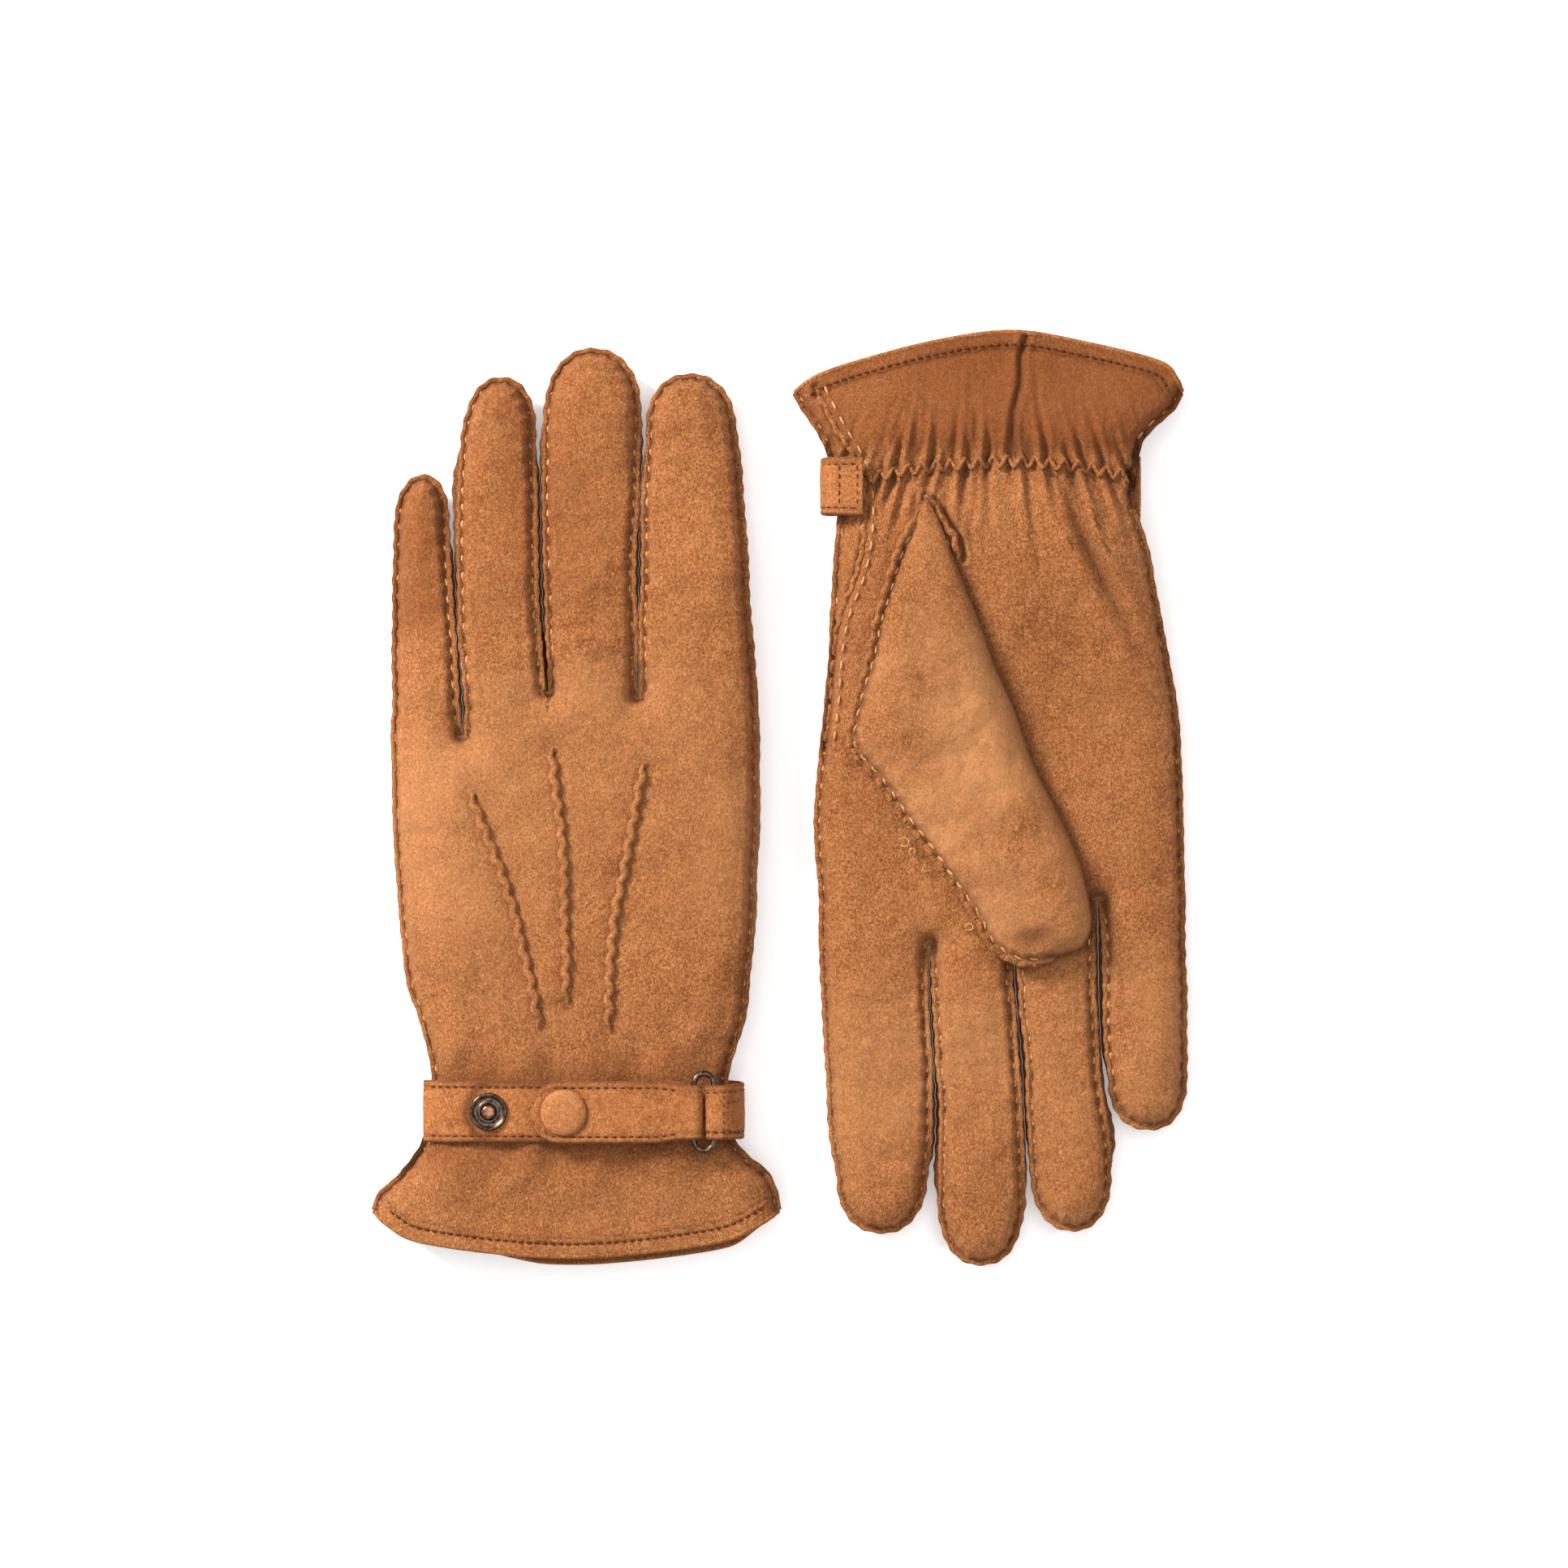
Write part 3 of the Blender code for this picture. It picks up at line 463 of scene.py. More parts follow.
    def folds(self, p, depth, face):
        """Soft unevenness, creases and gathers of one layer; positive is outwards."""
        y = p[:, 1]
        seed = self.seed * 2 + face
        inner = smooth(depth / 7.0)
        level = 0.95 * ripple(p, 30.0, seed) + 0.4 * ripple(p, 11.0, seed + 5)
        level = level + 0.5 * ripple(p, 10.0, seed + 9, 2, (0.6, 1.5)) * smooth((y - 100) / 30)
        level *= inner
        level += 0.45 * ripple(p, 5.5, seed + 13, 2) * bell(depth - 2.5, 2.5)
        if face > 0:
            level += self.back_folds(p)
        else:
            level += self.palm_folds(p)
        # A turned hem along the cuff.
        from_hem = distance(p, self.cuffs[face])
        level += 0.45 * (1 - smooth((from_hem - 4.4) / 1.0)) - 0.35 * bell(from_hem - HEM_FOLD, 0.5)
        level -= 0.3 * bell(from_hem - HEM_STITCHES, 0.4)
        return level - 0.35

    def back_folds(self, p):
        x, y = p[:, 0], p[:, 1]
        level = -0.5 * smooth((30 - y) / 20) * smooth((y + 24) / 12)
        near_strap = bell(np.abs(y) - 12, 9)
        level += 1.1 * near_strap * np.sin(x / 3.4 + 1.8 * ripple(p, 22.0, 31, 2))
        for line in POINTS:
            gap = distance(p, curve(line, 2.0))
            level -= 0.55 * bell(gap, 3.2)
        return level

    def from_elastic(self, p):
        """How far each point lies towards the fingers from the elastic's line."""
        elastic = curve(PALM_ELASTIC, 2.0)[::-1]
        return p[:, 1] - np.interp(p[:, 0], elastic[:, 0], elastic[:, 1])

    def pleats(self, p):
        """The gathers that fan out from the elastic, -1 to 1, fading with distance."""
        away = self.from_elastic(p)
        along = np.column_stack([p[:, 0], p[:, 0] * 0])
        reach = np.where(away > 0, 13.0, 10.0) * (1 + 0.8 * ripple(along, 9.0, 47, 2))
        spread = p[:, 0] / (1 + np.clip(away, -20, 60) * np.where(away > 0, 0.012, 0.009))
        pleat = np.sin(spread * 2 * np.pi / 5.6 + 2.2 * ripple(p, 20.0, 41, 2))
        pleat += 0.55 * np.sin(spread * 2 * np.pi / 3.4 + 2.0 * ripple(p, 14.0, 43, 2))
        fade = np.exp(-((np.abs(away) / np.maximum(reach, 5.0)) ** 1.6)) * smooth(np.abs(away) / 2.2 + 0.5)
        return pleat * fade / 1.2

    def from_crease(self, p):
        """Distance from the palm's long crease, and how deep it is there, fading out at both ends."""
        path = curve(PALM_CREASE, 1.5)
        gap, along = near(p, path)
        t = along / np.linalg.norm(np.diff(path, axis=0), axis=1).sum()
        return gap, smooth(np.minimum(t + 0.35, 1 - t) / 0.6)

    def palm_folds(self, p):
        away = self.from_elastic(p)
        level = 1.25 * self.pleats(p) - 2.6 * bell(away, 8.0)
        _, beside = zigzag_of(p, away)
        level += 0.85 * bell(beside, 1.0) * (np.abs(p[:, 0]) < 46) - 0.5 * bell(away, 2.2)
        crease, fade = self.from_crease(p)
        level += fade * (1.2 * bell(crease - 4.6, 2.8) - 2.0 * bell(crease, 2.2))
        dart = distance(p, curve(CUFF_DART, 1.5))
        level += -1.3 * bell(dart, 0.9) + 0.5 * bell(dart - 2.1, 1.2)
        for line in (PALM_INDEX_SEAM, QUIRK_SEAM):
            gap = distance(p, curve(line, 1.5))
            level += -1.1 * bell(gap, 0.8) + 0.6 * bell(gap - 1.9, 1.0)
        return level

    def lean(self, p):
        """Painted light and shade over the whole glove, from -1, painted lighter, to 1, painted darker:
        broad regions lit or shaded as the light falls on them, over random patches of nap tone.
        """
        x, y = p.T
        uneven = 0.35 * ripple(p, 42.0, self.seed + 90, 2)
        if self.mirrored:
            cuff = 0.85 * smooth((-6 - y) / 8)
            heel = 0.1 * np.exp(-(((x + 24) / 16) ** 2) - ((y - 62) / 34) ** 2)
            under_thumb = 0.2 * np.exp(-(((x - 36) / 14) ** 2) - ((y - 104) / 24) ** 2)
            return cuff + heel + under_thumb - 0.3 * smooth((y - 118) / 30) + 0.9 * uneven
        fingers = 0.75 * smooth((y - 118) / 28) - 0.3 * smooth((x - 8) / 20) * smooth((y - 122) / 26)
        wrist = 0.45 * bell(np.abs(y) - 14, 6)
        low = 0.3 * (1 - smooth((y - 34) / 34))
        pinky = 0.3 * smooth((-32 - x) / 8) * smooth((y - 100) / 20)
        return fingers + wrist + low + pinky + 0.9 * uneven - 0.42

    def surface(self, p, face, lift=0.0):
        """Points on the outer surface of a layer, in the flat frame."""
        most = MIDDLE if (face < 0) != self.mirrored else MIDDLE + 1.5
        return np.column_stack([p, MIDDLE + face * np.minimum(self.half_height(p, face) + lift, most)])


# ---- making objects ----
def make(name, points, faces, material, hollow=None, lean=None):
    """A smooth mesh object from points in metres.

    Three attributes are kept for the materials: where each point started, how much painted shade and
    cut-edge darkening it has, and its painted light and nap tone: 1 is painted darker and -1 is painted
    lighter.
    """
    mesh = bpy.data.meshes.new(name)
    mesh.from_pydata([tuple(p) for p in points], [], [tuple(int(i) for i in f) for f in faces])
    mesh.materials.append(material)
    mesh.shade_smooth()
    obj = bpy.data.objects.new(name, mesh)
    bpy.context.scene.collection.objects.link(obj)
    attribute = mesh.attributes.new("rest", "FLOAT_VECTOR", "POINT")
    attribute.data.foreach_set("vector", (np.asarray(points, float) / MM).astype(np.float32).ravel())
    for word, given in (("hollow", hollow), ("lean", lean)):
        values = np.zeros(len(points), np.float32)
        if given is not None:
            values[:len(given)] = given
        mesh.attributes.new(word, "FLOAT", "POINT").data.foreach_set("value", values)
    return obj


def border(faces):
    """Directed edges that belong to one triangle only."""
    seen = {}
    for a, b, c in faces.tolist():
        for e in ((a, b), (b, c), (c, a)):
            seen[e] = True
    return [e for e in seen if (e[1], e[0]) not in seen]


def layer(glove, name, loop, face, spacing, material, thickness=LEATHER):
    """One panel as a closed skin: its outer surface, an inner one and the edge between them."""
    coords, faces = triangulate(loop, spacing)
    height = glove.half_height(coords, face)
    height = np.clip(height, 0.55, MIDDLE if (face < 0) != glove.mirrored else MIDDLE + 1.2)
    outer = np.column_stack([coords, MIDDLE + face * height])
    inner = np.column_stack([coords, MIDDLE + face * np.maximum(height - thickness, 0.12)])
    count = len(coords)
    solid = np.concatenate([faces, faces[:, ::-1] + count]).tolist()
    for a, b in border(faces):
        solid += [(a, a + count, b + count), (a, b + count, b)]
    if (face < 0) != glove.mirrored:
        solid = [f[::-1] for f in solid]
    placed = glove.place(np.concatenate([outer, inner]))
    obj = make(f"{glove.name}_{name}", placed, solid, material, glove.shade_and_edge_mask(coords, face),
               glove.lean(coords))
    normals = surface_normals(glove, coords, face, height)
    keep_normals(obj, normals, count)
    return obj


def surface_normals(glove, coords, face, height):
    """Outward normals of the outer surface from its height alone, so that neighbouring panels agree."""
    step = 0.2
    here = glove.place(np.column_stack([coords, MIDDLE + face * height]))
    beside = []
    for shift in ((step, 0), (0, step)):
        q = coords + np.array(shift)
        beside.append(glove.place(glove.surface(q, face)) - here)
    normal = np.cross(*beside)
    normal /= np.linalg.norm(normal, axis=1)[:, None]
    up = -1.0 if (face < 0) != glove.mirrored else 1.0
    return np.where((normal[:, 2] * up < 0)[:, None], -normal, normal)


def keep_normals(obj, normals, count):
    """Uses the given normals on the outer surface and the mesh's own elsewhere."""
    mesh = obj.data
    own = np.zeros(len(mesh.loops) * 3, np.float32)
    mesh.corner_normals.foreach_get("vector", own)
    own = own.reshape(-1, 3)
    corner_vertex = np.zeros(len(mesh.loops), np.int32)
    mesh.loops.foreach_get("vertex_index", corner_vertex)
    face_of_corner = np.repeat(np.arange(len(mesh.polygons)), 3)
    all_outer = (corner_vertex.reshape(-1, 3) < count).all(axis=1)[face_of_corner]
    own[all_outer] = normals[corner_vertex[all_outer]]
    mesh.normals_split_custom_set([tuple(n) for n in own])


def tube_mesh(path, radii, sides=8, squash=1.0, up=(0, 0, 1)):
    """A closed tube along a 3-D path; radii is one number or one for each point."""
    path = np.asarray(path, float)
    count = len(path)
    radii = np.broadcast_to(np.asarray(radii, float), (count,))
    along = np.gradient(path, axis=0)
    along /= np.maximum(np.linalg.norm(along, axis=1), 1e-9)[:, None]
    across = np.cross(along, np.broadcast_to(np.array(up, float), along.shape))
    across /= np.maximum(np.linalg.norm(across, axis=1), 1e-9)[:, None]
    rising = np.cross(across, along)
    angles = 2 * np.pi * np.arange(sides) / sides
    ring = (across[:, None, :] * np.cos(angles)[None, :, None]
            + rising[:, None, :] * np.sin(angles)[None, :, None] * squash)
    points = (path[:, None, :] + ring * radii[:, None, None]).reshape(-1, 3)
    faces = []
    for i in range(count - 1):
        for k in range(sides):
            a, b = i * sides + k, i * sides + (k + 1) % sides
            faces.append((a, b, b + sides, a + sides))
    faces.append(tuple(range(sides))[::-1])
    faces.append(tuple(range((count - 1) * sides, count * sides)))
    return points, faces


def gather(parts):
    """Several (points, faces) as one."""
    points, faces, first = [], [], 0
    for p, f in parts:
        points.append(p)
        faces += [tuple(i + first for i in face) for face in f]
        first += len(p)
    return np.concatenate(points), faces


def flipped(faces, glove):
    return [tuple(f[::-1]) for f in faces] if glove.mirrored else faces


def dashes(path, face, pitch, length, radius):
    """Stitches along a path on the surface: short threads that dip in at both ends."""
    lengths = np.concatenate([[0], np.cumsum(np.linalg.norm(np.diff(path, axis=0), axis=1))])
    profile = np.array([0.0, 0.12, 0.3, 0.5, 0.7, 0.88, 1.0])
    thick = np.array([0.25, 0.75, 1.0, 1.0, 1.0, 0.75, 0.25]) * radius
    dip = np.array([-0.9, -0.25, 0.1, 0.2, 0.1, -0.25, -0.9]) * radius * face
    parts = []
    for n in range(int(lengths[-1] / pitch)):
        at = (n + 0.5) * pitch + (profile - 0.5) * length
        p = np.stack([np.interp(at, lengths, path[:, k]) for k in range(3)], axis=1)
        p[:, 2] += dip
        parts.append(tube_mesh(p, thick, 6, 0.85))
    return parts


def stitch_row(glove, line, face, pitch=STITCH_PITCH, length=STITCH_LENGTH, radius=STITCH_RADIUS, inset=0.0,
               lift=0.22):
    """A row of stitches on a layer along a plan line, `inset` to its left."""
    flat = even(offset(np.asarray(line, float), inset) if inset else np.asarray(line, float), 0.5)
    return dashes(glove.surface(flat, face, lift), face, pitch, length, radius)


def add_parts(glove, name, parts, material, rigid=False, lean=0.0):
    points, faces = gather(parts)
    return make(f"{glove.name}_{name}", glove.place(points, rigid), flipped(faces, glove), material,
                lean=np.full(len(points), lean))


# ---- materials ----
class Nodes:
    """Adds and joins shader nodes with little typing."""

    def __init__(self, name):
        self.material = bpy.data.materials.new(name)
        self.material.use_nodes = True
        self.tree = self.material.node_tree
        self.shader = self.tree.nodes["Principled BSDF"]
        self.rest = self.add("ShaderNodeAttribute")
        self.rest.attribute_name = "rest"

    def add(self, kind, **values):
        node = self.tree.nodes.new(kind)
        for key, value in values.items():
            setattr(node, key, value)
        return node

    def link(self, output, socket):
        self.tree.links.new(output, socket)

    def attribute(self, word):
        node = self.add("ShaderNodeAttribute")
        node.attribute_name = word
        return node.outputs["Fac"]

    def scaled(self, factors):
        """The rest position with each axis scaled."""
        node = self.add("ShaderNodeVectorMath", operation="MULTIPLY")
        self.link(self.rest.outputs["Vector"], node.inputs[0])
        node.inputs[1].default_value = factors
        return node.outputs[0]

    def noise(self, per_mm, detail=3.0, roughness=0.55, distortion=0.0, stretch=(1, 1, 1)):
        node = self.add("ShaderNodeTexNoise")
        self.link(self.scaled([per_mm * f for f in stretch]), node.inputs["Vector"])
        node.inputs["Scale"].default_value = 1.0
        node.inputs["Detail"].default_value = detail
        node.inputs["Roughness"].default_value = roughness
        node.inputs["Distortion"].default_value = distortion
        return node.outputs["Fac"]

    def remap(self, value, low, high, out_low, out_high):
        node = self.add("ShaderNodeMapRange", interpolation_type="SMOOTHSTEP", clamp=True)
        self.link(value, node.inputs["Value"])
        given = {"From Min": low, "From Max": high, "To Min": out_low, "To Max": out_high}
        for key, number in given.items():
            node.inputs[key].default_value = number
        return node.outputs["Result"]

    def math(self, operation, a, b):
        node = self.add("ShaderNodeMath", operation=operation)
        for socket, value in zip(node.inputs, (a, b)):
            if isinstance(value, (int, float)):
                socket.default_value = value
            else:
                self.link(value, socket)
        return node.outputs[0]

    def mix(self, factor, a, b, blend="MIX"):
        node = self.add("ShaderNodeMix", data_type="RGBA", blend_type=blend)
        for name, value in (("Factor_Float", factor), ("A_Color", a), ("B_Color", b)):
            socket = next(i for i in node.inputs if i.identifier == name)
            if isinstance(value, (int, float)):
                socket.default_value = value
            elif isinstance(value, tuple):
                socket.default_value = (*value, 1.0)
            else:
                self.link(value, socket)
        return next(o for o in node.outputs if o.identifier == "Result_Color")

    def bump(self, height, distance_mm, strength=1.0, after=None):
        node = self.add("ShaderNodeBump")
        self.link(height, node.inputs["Height"])
        node.inputs["Distance"].default_value = distance_mm * MM
        node.inputs["Strength"].default_value = strength
        if after is not None:
            self.link(after, node.inputs["Normal"])
        return node.outputs["Normal"]

    def finish(self, colour, roughness, normal=None):
        self.link(colour, self.shader.inputs["Base Color"])
        if isinstance(roughness, float):
            self.shader.inputs["Roughness"].default_value = roughness
        else:
            self.link(roughness, self.shader.inputs["Roughness"])
        if normal is not None:
            self.link(normal, self.shader.inputs["Normal"])
        return self.material


SUEDE_DARK, SUEDE_MIDDLE, SUEDE_LIGHT = (0.21, 0.056, 0.0125), (0.41, 0.14, 0.041), (0.64, 0.288, 0.113)
# the darkest brown, mixed in as painted shade and for darker cut edges
SUEDE_SHADE_AND_EDGE = (0.095, 0.025, 0.007)


def suede(name, brightness=1.0, nap=1.0):
    """Brushed suede: cloudy patches where the nap lies differently, a short pile and stray light fibres."""
    n = Nodes(name)
    dark, middle, light, hollow = (tuple(c * brightness for c in colour)
                                   for colour in (SUEDE_DARK, SUEDE_MIDDLE, SUEDE_LIGHT, SUEDE_SHADE_AND_EDGE))
    clouds = n.noise(0.035, 3.0, 0.6, 0.5)
    patches = n.noise(0.11, 5.0, 0.66, 0.6)
    strokes = n.noise(0.5, 5.0, 0.75, 0.6, (1.0, 0.6, 1.0))
    pile = n.noise(1.1, 4.0, 0.8, 0.3)
    fibre = n.noise(2.3, 2.0, 0.7, 0.4, (1.0, 0.6, 1.0))
    lie = n.math("ADD", n.math("MULTIPLY", clouds, 0.4), n.math("MULTIPLY", patches, 0.6))
    tone = n.mix(n.remap(lie, 0.36, 0.5, 0.35, 1.0), dark, middle)
    tone = n.mix(n.remap(lie, 0.52, 0.7, 0.0, 0.4), tone, light)
    tone = n.mix(n.remap(strokes, 0.34, 0.52, 0.22, 0.0), tone, dark)
    tone = n.mix(n.remap(strokes, 0.5, 0.68, 0.0, 0.2), tone, light)
    tone = n.mix(n.remap(pile, 0.34, 0.5, 0.6 * nap, 0.0), tone, dark)
    tone = n.mix(n.remap(pile, 0.5, 0.66, 0.0, 0.6 * nap), tone, light)
    tone = n.mix(n.remap(fibre, 0.36, 0.5, 0.7 * nap, 0.0), tone, dark)
    tone = n.mix(n.remap(fibre, 0.5, 0.66, 0.0, 0.65 * nap), tone, light)
    # painted light and shade from the mesh's attribute: positive paints the suede darker, negative lighter
    lean = n.attribute("lean")
    tone = n.mix(n.remap(lean, 0.0, 1.0, 0.0, 0.75), tone, dark)
    tone = n.mix(n.remap(n.math("MULTIPLY", lean, -1.0), 0.0, 1.0, 0.0, 0.7), tone, light)
    # painted shade in grooves, creases and beside parts, and darker cut edges, from the mesh's attribute
    tone = n.mix(n.math("MULTIPLY", n.attribute("hollow"), 0.72), tone, hollow)
    normal = n.bump(patches, 3.5, 0.6)
    normal = n.bump(strokes, 1.8, 0.8, normal)
    normal = n.bump(pile, 1.0, 1.0, normal)
    normal = n.bump(fibre, 0.35, 0.9, normal)
    n.shader.inputs["Sheen Weight"].default_value = 0.1
    n.shader.inputs["Sheen Roughness"].default_value = 0.45
    n.shader.inputs["Sheen Tint"].default_value = (1.0, 0.6, 0.35, 1.0)
    n.shader.inputs["Specular IOR Level"].default_value = 0.12
    return n.finish(tone, 0.92, normal)


def thread(name, colour, light):
    n = Nodes(name)
    twist = n.noise(3.5, 2.0, 0.5)
    tone = n.mix(n.remap(twist, 0.35, 0.65, 0.0, 1.0), colour, light)
    n.shader.inputs["Specular IOR Level"].default_value = 0.1
    return n.finish(tone, 0.7, n.bump(twist, 0.15, 0.8))


def antique_metal(name, dark=(0.035, 0.024, 0.019), light=(0.13, 0.085, 0.06)):
    """Dark plated brass, with browner tarnish in noisy patches and a few light specks."""
    n = Nodes(name)
    n.shader.inputs["Metallic"].default_value = 1.0
    tarnish = n.noise(0.9, 4.0, 0.6)
    specks = n.noise(5.0, 2.0, 0.6)
    tone = n.mix(n.remap(tarnish, 0.35, 0.65, 0.0, 1.0), dark, light)
    tone = n.mix(n.remap(specks, 0.6, 0.8, 0.0, 0.25), tone, (0.25, 0.18, 0.13))
    return n.finish(tone, n.remap(tarnish, 0.3, 0.7, 0.24, 0.38), n.bump(specks, 0.03, 0.3))


def webbing(name):
    n = Nodes(name)
    ribs = n.add("ShaderNodeTexWave", bands_direction="Y")
    n.link(n.scaled((1, 1, 1)), ribs.inputs["Vector"])
    ribs.inputs["Scale"].default_value = 0.45
    ribs.inputs["Distortion"].default_value = 0.6
    fuzz = n.noise(3.0, 3.0)
    tone = n.mix(n.remap(ribs.outputs["Fac"], 0.1, 0.9, 0.0, 1.0), (0.34, 0.22, 0.13), (0.62, 0.47, 0.32))
    tone = n.mix(n.remap(fuzz, 0.4, 0.7, 0.0, 0.35), tone, (0.75, 0.62, 0.45))
    return n.finish(tone, 0.9, n.bump(ribs.outputs["Fac"], 0.4, 0.8))


def table_material():
    n = Nodes("table_paper")
    grain = n.noise(0.4, 4.0, 0.6)
    tone = n.mix(n.remap(grain, 0.3, 0.7, 0.0, 1.0), (0.93, 0.93, 0.93), (0.95, 0.95, 0.95))
    n.shader.inputs["Emission Color"].default_value = (1.0, 1.0, 1.0, 1.0)
    n.shader.inputs["Emission Strength"].default_value = 0.24
    return n.finish(tone, 0.95)


SUEDE = suede("suede_upper")
SUEDE_STRAP = suede("suede_strap", 1.18, 0.7)
# a copy of the suede at half brightness: painted shade for the side walls deep in the slits between fingers
SUEDE_WALL_SHADED = suede("suede_side_wall", 0.5)
SUEDE_INNER = suede("suede_inner_face", 0.85, 0.6)
THREAD = thread("thread_tan", (0.36, 0.15, 0.052), (0.62, 0.32, 0.14))
THREAD_DARK = thread("thread_brown", (0.05, 0.014, 0.005), (0.12, 0.036, 0.012))
METAL = antique_metal("antique_brass")
COPPER = antique_metal("worn_copper", (0.12, 0.055, 0.033), (0.34, 0.17, 0.10))
WEBBING = webbing("elastic_webbing")


# ---- the hand and the fingers ----
def fineness(glove, face):
    faces_up = (face > 0) != glove.mirrored
    return FINE if faces_up else COARSE


def hand_loop(glove, face):
    outline = glove.outline
    roots = [outline.fingers[name] for name in HINGES]
    front = [np.array([left[0], right[0]], float) for left, right, _ in roots]
    line = np.concatenate([even(pair, 1.0) for pair in front])
    loop = [glove.pinky_edge[:-1], line, glove.index_edge[::-1][1:], glove.cuffs[face][1:-1]]
    return np.concatenate(loop)


def finger_loop(glove, finger):
    path = glove.loops[finger]
    root = even(np.array([path[-1], path[0]]), 1.0)[1:-1]
    return np.concatenate([path, root])


def tidy_loop(loop):
    """Drops points that almost repeat their neighbour."""
    gap = np.linalg.norm(loop - np.roll(loop, 1, axis=0), axis=1)
    return loop[gap > 0.05]


def bends(glove, obj, finger):
    """Bakes the piece's placement into its mesh; the two points it works out over the finger's root are not
    used, and the piece is not bent.
    """
    left, right, _ = glove.outline.fingers[finger]
    root = max(left[0][1], right[0][1])
    start = max(root, HINGES[finger] - 7.0)
    x = (left[0][0] + right[0][0]) / 2
    ends = glove.place([(x, start, MIDDLE), (x, start + 14.0, MIDDLE)])
    ends[:, 2] = ends[0, 2]
    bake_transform(obj)


def build_hand(glove):
    body = f"{glove.name}_hand"
    for face, word in ((1, "back"), (-1, "palm")):
        loop = tidy_loop(hand_loop(glove, face)[::-1])
        obj = layer(glove, f"{word}_suede", loop, face, fineness(glove, face), SUEDE)
        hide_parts(f"{glove.name}_{word}_panel")
        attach(obj, body)
    stitches = []
    for face in (1, -1):
        for edge, side in ((glove.pinky_edge, -1), (glove.index_edge, 1)):
            stitches += stitch_row(glove, edge, face, inset=side * STITCH_INSET)
    obj = add_parts(glove, "edge_stitches", stitches, THREAD)
    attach(obj, body)


def build_finger(glove, finger):
    loop = tidy_loop(finger_loop(glove, finger)[::-1])
    for face, word in ((1, "back"), (-1, "palm")):
        obj = layer(glove, f"{finger}_{word}_suede", loop, face, fineness(glove, face), SUEDE)
        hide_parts(f"{glove.name}_{finger}_{word}")
        bends(glove, obj, finger)
    path = glove.loops[finger]
    stitches = []
    for face in (1, -1):
        stitches += stitch_row(glove, path, face, inset=-STITCH_INSET)
    obj = add_parts(glove, f"{finger}_stitches", stitches, THREAD)
    bends(glove, obj, finger)
    for which, side in ((0, "pinky_side"), (1, "index_side")):
        if SLIT_SIDES[finger][which]:
            side_wall(glove, finger, which, side)


def side_wall(glove, finger, which, side):
    """The narrow wall let in between the back and the palm of a finger."""
    path = glove.loops[finger]
    half = len(path) // 2
    edge = path[:half] if which == 0 else path[half:][::-1]
    inward = 1.0 if which == 0 else -1.0
    inner = edge + np.array([inward * 0.4, 0.0])
    height = glove.side_wall(inner)
    past_root = (edge[:, 1] > edge[0, 1] - 1.0) & (edge[:, 1] < edge[:, 1].max() - 14.0)
    keep = (height > 0.35) | (past_root & (edge[:, 1] < edge[:, 1].min() + 30.0))
    edge, height = edge[keep], np.maximum(height[keep], 1.0)
    rows, points, faces = 9, [], []
    wrinkle = ripple(edge, 5.0, 50 + which + glove.seed, 2)
    order = list(HINGES)
    beside = glove.loops[order[order.index(finger) + (1 if which else -1)]]
    middle = len(beside) // 2
    facing = beside[:middle] if which else beside[middle:][::-1]
    room = np.abs(np.interp(edge[:, 1], facing[:, 1], facing[:, 0]) - edge[:, 0]) / 2
    taper = smooth((edge[:, 1].max() - edge[:, 1]) / 16.0)
    bulge = (np.clip(room - 0.08, 0.1, 1.6) + 0.06 * wrinkle + 1.1) * taper - 1.1
    for depth in (0.0, 0.9):
        for k in range(rows):
            u = -1 + 2 * k / (rows - 1)
            belly = (1.6 + bulge) * (1 - u * u)
            x = edge[:, 0] + inward * (1.6 - belly + depth)
            points.append(np.column_stack([x, edge[:, 1], MIDDLE + u * (height + LEATHER * 0.5)]))
    count = len(edge)
    points = np.concatenate(points)

    def at(layer_number, k, i):
        return (layer_number * rows + k) * count + i

    for i in range(count - 1):
        for k in range(rows - 1):
            faces.append((at(0, k, i), at(0, k, i + 1), at(0, k + 1, i + 1), at(0, k + 1, i)))
            faces.append((at(1, k, i), at(1, k + 1, i), at(1, k + 1, i + 1), at(1, k, i + 1)))
        for k, turn in ((0, 1), (rows - 1, -1)):
            rim = (at(0, k, i), at(1, k, i), at(1, k, i + 1), at(0, k, i + 1))
            faces.append(rim[::turn])
    for i, turn in ((0, -1), (count - 1, 1)):
        for k in range(rows - 1):
            cap = (at(0, k, i), at(1, k, i), at(1, k + 1, i), at(0, k + 1, i))
            faces.append(cap[::turn])
    if which == 0:
        faces = [f[::-1] for f in faces]
    faces = [f[::-1] for f in faces]
    name = f"{glove.name}_{finger}_wall_{side}"
    obj = make(name, glove.place(points), flipped(faces, glove), SUEDE_WALL_SHADED)
    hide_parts(f"{glove.name}_{finger}_fourchette_{side}")
    bends(glove, obj, finger)


